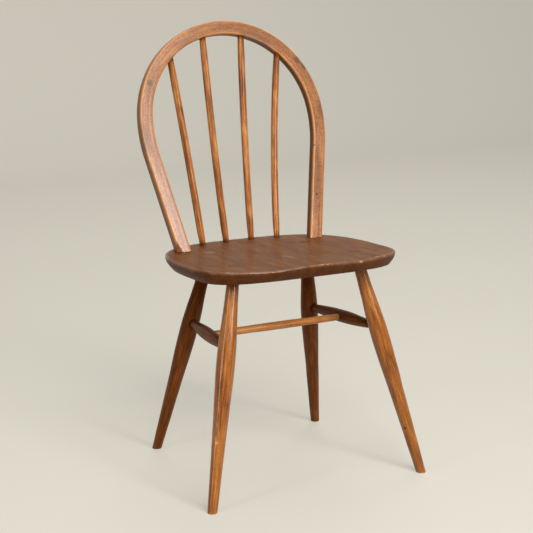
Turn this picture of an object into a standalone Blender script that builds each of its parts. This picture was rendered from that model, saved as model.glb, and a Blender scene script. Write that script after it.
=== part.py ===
"""Hoop-back kitchen chair of turned and bent wood, with wedged through tenons.

Metres, +Z up. The front of the chair faces -Y. Left and right are as seen from the front, so left is -X.
The origin is on the floor, at the centre of the chair's footprint.
"""
import math

import bmesh
import bpy
import numpy as np
from mathutils import Matrix, Vector

# Seat: places on it are measured in its own top plane, from the middle of its widest line
SEAT_HEIGHT = 0.412
SEAT_SLOPE = math.radians(3.5)
SEAT_THICKNESS = 0.024
SEAT_HALF_WIDTH = 0.1996
SEAT_FRONT_REACH = 0.1205
SEAT_BACK_REACH = 0.2200
SEAT_FRONT_SQUARENESS = 3.44
SEAT_BACK_SQUARENESS = 3.0
SEAT_UNDER_FRONT_SQUARENESS = 3.75
SEAT_SIDE_UNDERCUT = 0.010
SEAT_FRONT_UNDERCUT = 0.013
SEAT_SIDE_BULGE = 0.0022
SEAT_ARRIS = 0.003
DISH_DEPTH = 0.0045
DISH_BACKWARD = 0.055
DISH_HALF_WIDTH = 0.155
DISH_HALF_LENGTH = 0.130
THIGH_DEPTH = 0.0028
THIGH_SIDEWAYS = 0.088
THIGH_SPREAD = 0.050

# Legs: each runs from its foot on the floor to its tenon in the seat, and the shares are of its turned length.
# The places of feet and tenons are given in from the seat's side, and in from its front or back edge
FRONT_FOOT_SIDE_INSET = -0.0160
FRONT_FOOT_END_INSET = -0.0156
FRONT_TENON_SIDE_INSET = 0.0767
FRONT_TENON_END_INSET = 0.0829
REAR_FOOT_SIDE_INSET = 0.0230
REAR_FOOT_END_INSET = 0.0143
REAR_TENON_SIDE_INSET = 0.0977
REAR_TENON_END_INSET = 0.1071
LEG_FOOT_RADIUS = 0.0088
LEG_SHIN_RADIUS = 0.0131
LEG_SHIN_SHARE = 0.36
LEG_SWELL_RADIUS = 0.0166
LEG_SWELL_SHARE = 0.71
LEG_NECK_RADIUS = 0.0123
LEG_NECK_SHARE = 0.91
LEG_TENON_RADIUS = 0.0110

# Stretchers: two side ones between the legs, and a cross one between their middles
SIDE_STRETCHER_FRONT_HEIGHT = 0.2740
SIDE_STRETCHER_REAR_HEIGHT = 0.2654
SIDE_STRETCHER_END_RADIUS = 0.0070
SIDE_STRETCHER_MIDDLE_RADIUS = 0.0121
CROSS_STRETCHER_END_RADIUS = 0.0062
CROSS_STRETCHER_MIDDLE_RADIUS = 0.0075
CROSS_STRETCHER_SHARE = 0.513
STRETCHER_PAST_AXIS = 0.002

# Hoop: one bent bow, a straight run and two arcs on each side, in a plane that leans back
HOOP_FOOT_SIDE_INSET = 0.0593
HOOP_FOOT_BACK_INSET = 0.0710
HOOP_LEAN = math.radians(17.74)
HOOP_SPLAY = math.radians(11.17)
HOOP_STRAIGHT = 0.186
HOOP_SHOULDER_RADIUS = 0.2550
HOOP_SHOULDER_TURN = math.radians(16.88)
HOOP_WIDTH = 0.026
HOOP_DEPTH = 0.020
HOOP_ARRIS = 0.0030
HOOP_TENON_RADIUS = 0.0088

# Sticks: an inner and an outer one on each side. A foot stands at a share of the hoop foot's distance from
# the middle, in from the seat's back edge, and a top at a share of the crown's inner radius
INNER_STICK_FOOT_SHARE = 0.1925
INNER_STICK_BACK_INSET = 0.0210
INNER_STICK_TOP_SHARE = 0.2420
OUTER_STICK_FOOT_SHARE = 0.5680
OUTER_STICK_BACK_INSET = 0.0282
OUTER_STICK_TOP_SHARE = 0.6750
OUTER_STICK_INWARD_BOW = 0.0029
STICK_RADIUS = 0.0068
STICK_FOOT_RADIUS = 0.0056
STICK_TOP_RADIUS = 0.0061
STICK_FOOT_TAPER_LENGTH = 0.028
STICK_TOP_TAPER_LENGTH = 0.040
STICK_TOP_SETBACK = 0.001
STICK_BACK_BOW = 0.0047
STICK_TOP_FORWARD = 0.0014
STICK_SEAT_SOCKET = 0.014
STICK_HOOP_SOCKET = 0.009
STICK_ROWS = {
    "inner": (INNER_STICK_FOOT_SHARE, INNER_STICK_BACK_INSET, INNER_STICK_TOP_SHARE, 0),
    "outer": (OUTER_STICK_FOOT_SHARE, OUTER_STICK_BACK_INSET, OUTER_STICK_TOP_SHARE, OUTER_STICK_INWARD_BOW),
}

# Wedges that spread the tenons, set across the grain of the seat
WEDGE_LENGTH = 0.018
WEDGE_THICK_END = 0.0028
WEDGE_THIN_END = 0.0010

CLEARANCE = 0.0003
SOCKET_BOTTOM = 0.0005
TRIM = 0.030
SIDES = {"left": -1, "right": 1}

# How finely the round and hollowed forms are cut into faces
LEG_FACETS = 24
TENON_FACETS = 24
RAIL_FACETS = 20
LEG_STEPS = 20
RAIL_STEPS = 15
SEAT_RIM_POINTS = 88
SEAT_TOP_SHARES = (1.0, 0.93, 0.84, 0.73, 0.60, 0.46, 0.32, 0.18, 0.07)
SEAT_EDGE_SHARES = (0.0, 0.3, 0.65, 1.0)
HOOP_SHOULDER_STEPS = 7
HOOP_CROWN_STEPS = 21
STICK_STEPS = 9

WOODS = {
    "seat": ((0.240, 0.118, 0.058), 0.38),
    "hoop": ((0.430, 0.195, 0.080), 0.32),
    "stick": ((0.400, 0.160, 0.052), 0.34),
    "leg": ((0.370, 0.140, 0.045), 0.33),
    "stretcher": ((0.260, 0.090, 0.030), 0.36),
    "wedge": ((0.420, 0.270, 0.150), 0.55),
}


def clear_scene():
    for thing in list(bpy.data.objects):
        bpy.data.objects.remove(thing, do_unlink=True)


def make_collection(name):
    group = bpy.data.collections.new(name)
    bpy.context.scene.collection.children.link(group)
    return group


def make_wood(name, kind):
    """Varnished wood: its colour and roughness are those of the kind of piece."""
    colour, roughness = WOODS[kind]
    wood = bpy.data.materials.new(name + "_wood")
    wood.use_nodes = True
    shader = wood.node_tree.nodes["Principled BSDF"]
    shader.inputs["Base Color"].default_value = (*colour, 1.0)
    shader.inputs["Roughness"].default_value = roughness
    shader.inputs["Metallic"].default_value = 0.0
    return wood


def add_piece(name, data, kind, place=None):
    """Put one wooden piece into the chair, under the empty that carries it all."""
    piece = bpy.data.objects.new(name, data)
    CHAIR.objects.link(piece)
    piece.parent = STAND
    piece.matrix_local = place or Matrix.Identity(4)
    data.materials.append(make_wood(name, kind))
    return piece


def add_cutter(name, data, place=None):
    """Put a shape that only removes wood into the cutters' own collection."""
    cutter = bpy.data.objects.new(name, data)
    CUTTERS.objects.link(cutter)
    cutter.parent = STAND
    cutter.matrix_local = place or Matrix.Identity(4)
    cutter.hide_render = True
    cutter.display_type = "WIRE"
    return cutter


def mesh_from(name, shape):
    mesh = bpy.data.meshes.new(name)
    shape.to_mesh(mesh)
    shape.free()
    return mesh


def cut(piece, cutter):
    step = piece.modifiers.new("cut_" + cutter.name, "BOOLEAN")
    step.operation = "DIFFERENCE"
    step.object = cutter


def soften(piece, angle=40):
    """Smooth shading on the round faces, with the edges sharper than the angle kept."""
    piece.data.shade_smooth()
    piece.data.set_sharp_from_angle(angle=math.radians(angle))


# Places and directions

def on_seat(sideways, backward, above=0.0):
    """Point given in the seat's top plane, which falls towards the back."""
    return SEAT_PLACE @ Vector((sideways, backward, above))


def along(start, end):
    """Frame at the start whose Z points to the end, and whose X is as level across the chair as it can be."""
    z = (end - start).normalized()
    level = Vector((1, 0, 0)) if abs(z.x) < abs(z.y) + abs(z.z) else Vector((0, 1, 0))
    x = (level - z * level.dot(z)).normalized()
    turn = Matrix((x, z.cross(x), z)).transposed()
    return Matrix.Translation(start) @ turn.to_4x4()


def round_bar(name, start, end, radius, segments=TENON_FACETS):
    """Straight cutter of round section from the start to the end."""
    length = (end - start).length
    shape = bmesh.new()
    lift = Matrix.Translation((0, 0, length / 2))
    bmesh.ops.create_cone(
        shape, cap_ends=True, segments=segments, radius1=radius, radius2=radius, depth=length, matrix=lift
    )
    return add_cutter(name, mesh_from(name, shape), along(start, end))


def smooth_run(stations, count):
    """Even samples of a smooth run through (distance, value) stations.

    Each stretch is a cubic whose end slopes are those of the chords on either side of the station.
    """
    distance, value = np.array(stations).T
    slope = np.gradient(value, distance)
    sample = np.linspace(distance[0], distance[-1], count)
    i = np.clip(np.searchsorted(distance, sample, side="right") - 1, 0, len(distance) - 2)
    span = distance[i + 1] - distance[i]
    t = (sample - distance[i]) / span
    start = (1 + 2 * t) * (1 - t) ** 2 * value[i] + t * (1 - t) ** 2 * span * slope[i]
    finish = t * t * (3 - 2 * t) * value[i + 1] + t * t * (t - 1) * span * slope[i + 1]
    return list(zip(sample, start + finish))


def turned(name, kind, profile, start, end, steps):
    """Lathe work: (distance, radius) pairs from the start, spun about the line to the end."""
    outline = [(0.0, profile[0][0]), *[(r, z) for z, r in profile], (0.0, profile[-1][0])]
    half_step = math.pi / steps
    c, s = math.cos(half_step), math.sin(half_step)
    shape = bmesh.new()
    points = [shape.verts.new((r * c, r * s, z)) for r, z in reversed(outline)]
    for upper, lower in zip(points, points[1:]):
        shape.edges.new((upper, lower))
    piece = add_piece(name, mesh_from(name, shape), kind, along(start, end))
    spin = piece.modifiers.new("lathe", "SCREW")
    spin.axis = "Z"
    spin.steps = spin.render_steps = steps
    spin.use_merge_vertices = True
    spin.merge_threshold = 0.00001
    spin.use_smooth_shade = True
    return piece


# Seat

def seat_ring(half_width, front, back, squareness):
    """Closed outline of two half superellipses, as evenly spaced points from the front's middle."""
    angle = np.linspace(-math.pi / 2, 3 * math.pi / 2, 20 * SEAT_RIM_POINTS + 1)
    c, s = np.cos(angle), np.sin(angle)
    power = 2 / np.where(s < 0, squareness[0], squareness[1])
    x = half_width * np.sign(c) * np.abs(c) ** power
    y = np.where(s < 0, front, back) * np.sign(s) * np.abs(s) ** power
    walked = np.concatenate([[0], np.cumsum(np.hypot(np.diff(x), np.diff(y)))])
    stops = np.linspace(0, walked[-1], SEAT_RIM_POINTS, endpoint=False)
    return np.interp(stops, walked, x), np.interp(stops, walked, y)


def top_ring(inset, share=1.0):
    """Outline of the seat's top, moved in by the inset and drawn in to a share of its size."""
    x, y = seat_ring(
        SEAT_HALF_WIDTH - inset,
        SEAT_FRONT_REACH - inset,
        SEAT_BACK_REACH - inset,
        (SEAT_FRONT_SQUARENESS, SEAT_BACK_SQUARENESS),
    )
    return x * share, y * share


def saddle(x, y):
    """Depth to which the seat's top is hollowed: one shallow dish and two thigh hollows to the front."""
    dish = (x / DISH_HALF_WIDTH) ** 2 + ((y - DISH_BACKWARD) / DISH_HALF_LENGTH) ** 2
    depth = DISH_DEPTH * np.clip(1 - dish, 0, 1) ** 2
    forward = np.clip((DISH_BACKWARD - y) / SEAT_FRONT_REACH, 0, 1)
    fade = forward * forward * (3 - 2 * forward)
    thigh = np.exp(-(((np.abs(x) - THIGH_SIDEWAYS) / THIGH_SPREAD) ** 2))
    return depth + THIGH_DEPTH * fade * thigh


def top_surface_rings():
    """Rings of the hollowed top, from the arris in to the middle."""
    rings = []
    for share in SEAT_TOP_SHARES:
        x, y = top_ring(SEAT_ARRIS, share)
        rings.append(np.column_stack([x, y, -saddle(x, y)]))
    return rings


def under_ring(inset):
    """Outline of the flat underside, squarer at the front than the top's, moved in by the inset."""
    return seat_ring(
        SEAT_HALF_WIDTH - SEAT_SIDE_UNDERCUT - inset,
        SEAT_FRONT_REACH - SEAT_FRONT_UNDERCUT - inset,
        SEAT_BACK_REACH - SEAT_SIDE_UNDERCUT - inset,
        (SEAT_UNDER_FRONT_SQUARENESS, SEAT_BACK_SQUARENESS),
    )


def edge_rings():
    """Rings of the undercut edge, from the flat underside up to the rounded arris."""
    lower_arris = SEAT_ARRIS / 2
    corner_x, corner_y = under_ring(lower_arris)
    rings = [np.column_stack([corner_x, corner_y, np.full_like(corner_x, -SEAT_THICKNESS)])]
    foot_x, foot_y = under_ring(0)
    foot_z = lower_arris - SEAT_THICKNESS
    rim_x, rim_y = top_ring(0)
    rim_z = -saddle(rim_x, rim_y) - SEAT_ARRIS
    for rise in SEAT_EDGE_SHARES:
        swell = 1 + SEAT_SIDE_BULGE * math.sin(math.pi * rise) / SEAT_HALF_WIDTH
        x = (foot_x + (rim_x - foot_x) * rise) * swell
        y = (foot_y + (rim_y - foot_y) * rise) * swell
        rings.append(np.column_stack([x, y, foot_z + (rim_z - foot_z) * rise]))
    for turn in (math.radians(30), math.radians(60)):
        x, y = top_ring(SEAT_ARRIS * (1 - math.cos(turn)))
        z = -saddle(x, y) - SEAT_ARRIS * (1 - math.sin(turn))
        rings.append(np.column_stack([x, y, z]))
    return rings


def loft(name, rings):
    """Skin over rings of equal count, anticlockwise and upwards, with a flat face at each end."""
    shape = bmesh.new()
    loops = [[shape.verts.new(point) for point in ring] for ring in rings]
    for low, high in zip(loops, loops[1:]):
        for i, here in enumerate(low):
            j = (i + 1) % len(low)
            shape.faces.new((here, low[j], high[j], high[i]))
    shape.faces.new(list(reversed(loops[0])))
    shape.faces.new(loops[-1])
    return mesh_from(name, shape)


def make_seat():
    """Solid plank, saddled on top, with its edge undercut all round."""
    seat = add_piece("seat", loft("seat", edge_rings() + top_surface_rings()), "seat", SEAT_PLACE)
    soften(seat, 50)
    return seat


def make_top_trimmer():
    """Everything above the hollowed top: it trims the leg tenons flush with the seat."""
    rings = list(reversed(top_surface_rings()))
    lid = rings[-1].copy()
    lid[:, 2] = 2 * TRIM
    return add_cutter("above_seat", loft("above_seat", rings + [lid]), SEAT_PLACE)


# Legs

def leg_ends(side, end):
    """Foot on the floor and the point where the leg's axis leaves the seat's top plane."""
    if end == "front":
        foot = (FRONT_FOOT_SIDE_INSET, FRONT_FOOT_END_INSET)
        tenon = (FRONT_TENON_SIDE_INSET, FRONT_TENON_END_INSET)
        edge, way = -SEAT_FRONT_REACH, 1
    else:
        foot = (REAR_FOOT_SIDE_INSET, REAR_FOOT_END_INSET)
        tenon = (REAR_TENON_SIDE_INSET, REAR_TENON_END_INSET)
        edge, way = SEAT_BACK_REACH, -1
    on_floor = Vector((side * (SEAT_HALF_WIDTH - foot[0]), edge + way * foot[1], 0))
    return on_floor, on_seat(side * (SEAT_HALF_WIDTH - tenon[0]), edge + way * tenon[1])


def leg_at_height(side, end, height):
    foot, top = leg_ends(side, end)
    return foot.lerp(top, height / top.z)


def leg_profile(length, slant):
    """Slim foot, long swell to its fullest at the stretcher, then in to the tenon below the seat."""
    shoulder = length - SEAT_THICKNESS / slant - LEG_TENON_RADIUS / 2
    shape = (
        (0.0, LEG_FOOT_RADIUS),
        (LEG_SHIN_SHARE, LEG_SHIN_RADIUS),
        (LEG_SWELL_SHARE, LEG_SWELL_RADIUS),
        (LEG_NECK_SHARE, LEG_NECK_RADIUS),
        (1.0, LEG_TENON_RADIUS),
    )
    swept = smooth_run([(share * shoulder, radius) for share, radius in shape], LEG_STEPS)
    return [(-TRIM, LEG_FOOT_RADIUS), *swept, (length + TRIM / 2, LEG_TENON_RADIUS)]


def make_floor_trimmer():
    shape = bmesh.new()
    bmesh.ops.create_cube(shape, size=1, matrix=Matrix.Translation((0, 0, -0.5)))
    return add_cutter("below_floor", mesh_from("below_floor", shape))


def wedge_mesh(name, length, thick, thin, width):
    """Tapered block that points down from the origin, and carries its taper on above it for trimming."""
    slope = (thick - thin) / length
    past = TRIM
    shape = bmesh.new()
    place = Matrix.Translation((0, 0, (past - length) / 2)) @ Matrix.Diagonal((width, 1, length + past, 1))
    bmesh.ops.create_cube(shape, size=1, matrix=place)
    for corner in shape.verts:
        corner.co.y *= thick + slope * past if corner.co.z > 0 else thin
    return mesh_from(name, shape)


def add_wedge(name, piece, tenon_radius, place):
    """Cut a kerf in the tenon at the place, and make the wedge that fills it."""
    grown = 2 * CLEARANCE
    kerf = wedge_mesh(
        name + "_kerf",
        WEDGE_LENGTH + SOCKET_BOTTOM,
        WEDGE_THICK_END + grown,
        WEDGE_THIN_END + grown,
        3 * tenon_radius,
    )
    cut(piece, add_cutter(name + "_kerf", kerf, place))
    width = 2 * math.sqrt(tenon_radius**2 - (WEDGE_THICK_END / 2) ** 2)
    mesh = wedge_mesh(name, WEDGE_LENGTH, WEDGE_THICK_END, WEDGE_THIN_END, width)
    return add_piece(name, mesh, "wedge", place)


def make_leg(side_name, end, floor, above_seat, seat):
    """Turned leg, through the seat, with its tenon wedged and trimmed flush."""
    side = SIDES[side_name]
    foot, top = leg_ends(side, end)
    length = (top - foot).length
    slant = (top - foot).normalized().dot(SEAT_PLACE.to_3x3() @ Vector((0, 0, 1)))
    leg = turned(f"leg_{end}_{side_name}", "leg", leg_profile(length, slant), foot, top, LEG_FACETS)
    name = f"leg_wedge_{end}_{side_name}"
    wedge = add_wedge(name, leg, LEG_TENON_RADIUS, along(foot, top) @ Matrix.Translation((0, 0, length)))
    cut(leg, above_seat)
    cut(wedge, above_seat)
    cut(leg, floor)
    onward = (top - foot).normalized() * TRIM
    hole = f"leg_hole_{end}_{side_name}"
    cut(seat, round_bar(hole, top - 2 * onward, top + onward, LEG_TENON_RADIUS + CLEARANCE))
    return leg


# Stretchers

def stretcher_profile(length, end_radius, middle_radius, straight):
    """Straight tenon at each end and one long even swell between them."""
    swell = [(0.0, end_radius)]
    for share in np.linspace(0, 1, RAIL_STEPS):
        radius = end_radius + (middle_radius - end_radius) * math.sin(math.pi * share)
        swell.append((straight + (length - 2 * straight) * share, radius))
    return [*swell, (length, end_radius)]


def make_stretcher(name, start, end, end_radius, middle_radius, held_in, carriers):
    """Turned rail whose tenons end just past the axes of the two pieces that carry it."""
    reach = (end - start).normalized() * STRETCHER_PAST_AXIS
    start, end = start - reach, end + reach
    straight = STRETCHER_PAST_AXIS + held_in
    length = (end - start).length
    profile = stretcher_profile(length, end_radius, middle_radius, straight)
    rail = turned(name, "stretcher", profile, start, end, RAIL_FACETS)
    deeper = (end - start).normalized() * SOCKET_BOTTOM
    for carrier, tip, inner in ((carriers[0], start - deeper, end), (carriers[1], end + deeper, start)):
        mouth = tip.lerp(inner, 2 * straight / length)
        hole = f"{name}_hole_in_{carrier.name}"
        cut(carrier, round_bar(hole, mouth, tip, end_radius + CLEARANCE, RAIL_FACETS))
    return rail


def side_stretcher_ends(side):
    front = leg_at_height(side, "front", SIDE_STRETCHER_FRONT_HEIGHT)
    return leg_at_height(side, "rear", SIDE_STRETCHER_REAR_HEIGHT), front


def make_stretchers(legs):
    """Two side stretchers, and the cross stretcher that ties their middles together."""
    rails, middles = [], []
    for side_name, side in SIDES.items():
        rear, front = side_stretcher_ends(side)
        carriers = (legs["rear", side_name], legs["front", side_name])
        held_in = LEG_SWELL_RADIUS + SIDE_STRETCHER_END_RADIUS / 2
        rails.append(
            make_stretcher(
                "side_stretcher_" + side_name,
                rear,
                front,
                SIDE_STRETCHER_END_RADIUS,
                SIDE_STRETCHER_MIDDLE_RADIUS,
                held_in,
                carriers,
            )
        )
        middles.append(rear.lerp(front, CROSS_STRETCHER_SHARE))
    make_stretcher(
        "cross_stretcher",
        *middles,
        CROSS_STRETCHER_END_RADIUS,
        CROSS_STRETCHER_MIDDLE_RADIUS,
        SIDE_STRETCHER_MIDDLE_RADIUS,
        rails,
    )


# Hoop

def hoop_line():
    """Right half of the hoop's centre line in its own plane, and the crown arc's radius and height.

    A straight run that splays outward, an easy arc that turns it inward at the shoulder, and the crown arc,
    whose radius is the one that meets the other half level at the top.
    """
    splay = HOOP_SPLAY
    foot = Vector((SEAT_HALF_WIDTH - HOOP_FOOT_SIDE_INSET, 0))
    run = foot + HOOP_STRAIGHT * Vector((math.sin(splay), math.cos(splay)))
    centre = run - HOOP_SHOULDER_RADIUS * Vector((math.cos(splay), -math.sin(splay)))
    points = []
    for share in np.linspace(0, 1, HOOP_SHOULDER_STEPS):
        heading = splay - HOOP_SHOULDER_TURN * share
        points.append(centre + HOOP_SHOULDER_RADIUS * Vector((math.cos(heading), -math.sin(heading))))
    heading = splay - HOOP_SHOULDER_TURN
    crown_radius = points[-1].x / math.cos(heading)
    crown_height = points[-1].y + crown_radius * math.sin(heading)
    for share in np.linspace(0, 1, HOOP_CROWN_STEPS)[1:]:
        angle = -heading + (math.pi / 2 + heading) * share
        outward = Vector((math.cos(angle), math.sin(angle)))
        points.append(Vector((0, crown_height)) + crown_radius * outward)
    return points, crown_radius, crown_height


def hoop_section():
    """Cross-section of the bow: a rectangle with eased arrises."""
    half_width, half_depth = HOOP_WIDTH / 2 - HOOP_ARRIS, HOOP_DEPTH / 2 - HOOP_ARRIS
    points = []
    for quarter, (x, y) in enumerate(((1, 1), (-1, 1), (-1, -1), (1, -1))):
        for step in range(4):
            angle = math.pi / 2 * (quarter + step / 3)
            corner = Vector((x * half_width, y * half_depth))
            points.append(corner + HOOP_ARRIS * Vector((math.cos(angle), math.sin(angle))))
    return points


def flat_curve(name, points, cyclic):
    curve = bpy.data.curves.new(name, "CURVE")
    curve.dimensions = "2D"
    curve.fill_mode = "NONE"
    spline = curve.splines.new("POLY")
    spline.points.add(len(points) - 1)
    for slot, point in zip(spline.points, points):
        slot.co = (point.x, point.y, 0, 1)
    spline.use_cyclic_u = cyclic
    return curve


def hoop_frame():
    """Plane of the hoop: X sideways, Y up along the lean, Z forward, from the line between its feet."""
    foot = on_seat(0, SEAT_BACK_REACH - HOOP_FOOT_BACK_INSET)
    return Matrix.Translation(foot) @ Matrix.Rotation(math.pi / 2 - HOOP_LEAN, 4, "X")


def slice_off(shape, point, normal):
    """Remove what lies on the normal's side of a plane, and close the cut."""
    whole = [*shape.verts, *shape.edges, *shape.faces]
    bmesh.ops.bisect_plane(shape, geom=whole, plane_co=point, plane_no=normal, clear_outer=True)
    open_edges = [edge for edge in shape.edges if edge.is_boundary]
    bmesh.ops.holes_fill(shape, edges=open_edges, sides=0)


def bow_mesh():
    """The bent bow as a mesh in its own plane, with its feet cut to stand on the seat."""
    half, _, _ = hoop_line()
    splay = Vector((math.sin(HOOP_SPLAY), math.cos(HOOP_SPLAY)))
    foot = Vector((SEAT_HALF_WIDTH - HOOP_FOOT_SIDE_INSET, 0)) - splay * TRIM
    right = [foot, *half]
    left = [Vector((-point.x, point.y)) for point in reversed(right[:-1])]
    curve = flat_curve("bow_line", right + left, False)
    curve.bevel_mode = "OBJECT"
    section = bpy.data.objects.new("bow_section", flat_curve("bow_section", hoop_section(), True))
    CUTTERS.objects.link(section)
    curve.bevel_object = section
    curve.use_fill_caps = True
    bow = bpy.data.objects.new("bow_line", curve)
    CUTTERS.objects.link(bow)
    view = bpy.context.evaluated_depsgraph_get()
    view.update()
    mesh = bpy.data.meshes.new_from_object(bow.evaluated_get(view))
    bpy.data.objects.remove(bow)
    bpy.data.objects.remove(section)
    shape = bmesh.new()
    shape.from_mesh(mesh)
    bmesh.ops.remove_doubles(shape, verts=shape.verts, dist=0.00001)
    bmesh.ops.recalc_face_normals(shape, faces=shape.faces)
    to_hoop = hoop_frame().inverted()
    up = SEAT_PLACE.to_3x3() @ Vector((0, 0, 1))
    slice_off(shape, to_hoop @ on_seat(0, 0, CLEARANCE), -(to_hoop.to_3x3() @ up))
    mesh.materials.clear()
    shape.to_mesh(mesh)
    shape.free()
    return mesh


def hoop_tenon_line(side):
    """Where the tenon's axis leaves the seat's top, and its direction, down and inward."""
    down = Vector((-side * math.sin(HOOP_SPLAY), -math.cos(HOOP_SPLAY), 0))
    frame = hoop_frame()
    foot = Vector((side * (SEAT_HALF_WIDTH - HOOP_FOOT_SIDE_INSET), 0, 0))
    return frame @ foot, (frame.to_3x3() @ down).normalized()


def make_tenon(side_name):
    """Round tenon of one foot, from inside the bow to flush with the seat's underside."""
    start, down = hoop_tenon_line(SIDES[side_name])
    shape = bmesh.new()
    length = SEAT_THICKNESS + TRIM
    bmesh.ops.create_cone(
        shape,
        cap_ends=True,
        segments=TENON_FACETS,
        radius1=HOOP_TENON_RADIUS,
        radius2=HOOP_TENON_RADIUS,
        depth=length,
        matrix=Matrix.Translation((0, 0, length / 2 - HOOP_WIDTH / 2)),
    )
    place = along(start, start + down)
    to_tenon = place.inverted()
    under = -(to_tenon.to_3x3() @ (SEAT_PLACE.to_3x3() @ Vector((0, 0, 1))))
    slice_off(shape, to_tenon @ on_seat(0, 0, -SEAT_THICKNESS), under)
    name = "hoop_tenon_" + side_name
    return add_cutter(name, mesh_from(name, shape), place)


def make_hoop(seat):
    """The steam-bent bow, with a round tenon at each foot, wedged from under the seat."""
    hoop = add_piece("hoop", bow_mesh(), "hoop", hoop_frame())
    for side_name, side in SIDES.items():
        joint = hoop.modifiers.new("tenon_" + side_name, "BOOLEAN")
        joint.operation = "UNION"
        joint.object = make_tenon(side_name)
        start, down = hoop_tenon_line(side)
        upper, lower = start - down * TRIM, start + down * 2 * TRIM
        cut(seat, round_bar("hoop_hole_" + side_name, upper, lower, HOOP_TENON_RADIUS + CLEARANCE))
        slant = abs(down.dot(SEAT_PLACE.to_3x3() @ Vector((0, 0, 1))))
        end = start + down * SEAT_THICKNESS / slant
        tip = along(start, end) @ Matrix.Translation((0, 0, (end - start).length))
        cut(add_wedge("hoop_wedge_" + side_name, hoop, HOOP_TENON_RADIUS, tip), BELOW_SEAT)
    soften(hoop, 35)
    return hoop


def make_under_trimmer():
    """Everything below the seat's flat underside: it trims the hoop's wedges flush."""
    shape = bmesh.new()
    bmesh.ops.create_cube(shape, size=1, matrix=Matrix.Translation((0, 0, -0.5 - SEAT_THICKNESS)))
    return add_cutter("below_seat", mesh_from("below_seat", shape), SEAT_PLACE)


# Sticks

def stick_line(side, row):
    """Axis of a stick as a function of the distance from the seat's top, and its length to the hoop.

    It is the straight line from the seat to the hoop's inner edge, bowed by a parabola in between.
    """
    foot_share, back_inset, top_share, inward_bow = STICK_ROWS[row]
    _, radius, height = hoop_line()
    inner = radius - HOOP_WIDTH / 2
    top_height = height + inner * math.sqrt(1 - top_share**2)
    top = hoop_frame() @ Vector((side * inner * top_share, top_height, STICK_TOP_FORWARD))
    foot_sideways = foot_share * (SEAT_HALF_WIDTH - HOOP_FOOT_SIDE_INSET)
    foot = on_seat(side * foot_sideways, SEAT_BACK_REACH - back_inset)
    length = (top - foot).length
    bow = Vector((-side * inward_bow, STICK_BACK_BOW, 0))

    def point(distance):
        share = distance / length
        return foot.lerp(top, share) + bow * 4 * share * (1 - share)

    return point, length


def stick_radii(length, row):
    """Radius along the stick: slim at the foot, full above it, drawn in to its tenon under the hoop."""
    top_share = STICK_ROWS[row][2]
    neck = STICK_TOP_RADIUS * top_share / math.sqrt(1 - top_share**2) + STICK_TOP_SETBACK
    return (
        (-STICK_SEAT_SOCKET, STICK_FOOT_RADIUS),
        (0, STICK_FOOT_RADIUS),
        (STICK_FOOT_TAPER_LENGTH, STICK_RADIUS),
        (length - neck - STICK_TOP_TAPER_LENGTH, STICK_RADIUS),
        (length - neck, STICK_TOP_RADIUS),
        (length + STICK_HOOP_SOCKET, STICK_TOP_RADIUS),
    )


def make_stick(side_name, row, seat, hoop):
    """Shaved back stick, let into the seat below and the hoop above."""
    name = f"stick_{row}_{side_name}"
    point, length = stick_line(SIDES[side_name], row)
    stations = np.array(stick_radii(length, row))
    full = np.linspace(STICK_FOOT_TAPER_LENGTH, length, STICK_STEPS)[1:-1]
    between = [STICK_FOOT_TAPER_LENGTH / 2, *full]
    distances = np.sort(np.concatenate([stations[:, 0], between]))
    curve = bpy.data.curves.new(name, "CURVE")
    curve.dimensions = "3D"
    curve.bevel_depth = STICK_RADIUS
    curve.bevel_resolution = 3
    curve.use_fill_caps = True
    spline = curve.splines.new("POLY")
    spline.points.add(len(distances) - 1)
    for slot, distance in zip(spline.points, distances):
        slot.co = (*(point(distance) - point(0)), 1)
        slot.radius = np.interp(distance, stations[:, 0], stations[:, 1]) / STICK_RADIUS
    stick = add_piece(name, curve, "stick", Matrix.Translation(point(0)))
    in_seat = (point(STICK_FOOT_TAPER_LENGTH / 2), point(-STICK_SEAT_SOCKET - SOCKET_BOTTOM))
    cut(seat, round_bar(name + "_hole_in_seat", *in_seat, STICK_FOOT_RADIUS + CLEARANCE, RAIL_FACETS))
    in_hoop = (point(length - STICK_HOOP_SOCKET), point(length + STICK_HOOP_SOCKET + SOCKET_BOTTOM))
    cut(hoop, round_bar(name + "_hole_in_hoop", *in_hoop, STICK_TOP_RADIUS + CLEARANCE, RAIL_FACETS))


def centre_on_origin():
    """Move the whole chair so that the middle of its footprint is the origin."""
    view = bpy.context.evaluated_depsgraph_get()
    view.update()
    reach = []
    for piece in CHAIR.objects:
        solid = piece.evaluated_get(view)
        reach += [(solid.matrix_world @ vertex.co).y for vertex in solid.to_mesh().vertices]
        solid.to_mesh_clear()
    STAND.location.y = -(min(reach) + max(reach)) / 2


clear_scene()
CHAIR = make_collection("hoop_back_chair")
CUTTERS = make_collection("cutters")
STAND = bpy.data.objects.new("stand", None)
bpy.context.scene.collection.objects.link(STAND)
SEAT_PLACE = Matrix.Translation((0, 0, SEAT_HEIGHT)) @ Matrix.Rotation(-SEAT_SLOPE, 4, "X")
BELOW_SEAT = make_under_trimmer()

floor_trimmer = make_floor_trimmer()
top_trimmer = make_top_trimmer()
seat_piece = make_seat()
chair_legs = {}
for leg_end in ("front", "rear"):
    for leg_side in SIDES:
        chair_legs[leg_end, leg_side] = make_leg(leg_side, leg_end, floor_trimmer, top_trimmer, seat_piece)
make_stretchers(chair_legs)
hoop_piece = make_hoop(seat_piece)
for stick_row in STICK_ROWS:
    for stick_side in SIDES:
        make_stick(stick_side, stick_row, seat_piece, hoop_piece)
centre_on_origin()
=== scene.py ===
"""Hoop-back kitchen chair of turned and bent wood: its grain, its worn varnish, and its tenons and wedges.

Metres, +Z up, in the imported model's own frame. The chair faces -Y.
Left and right are as seen from the front.
"""

import math

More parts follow.
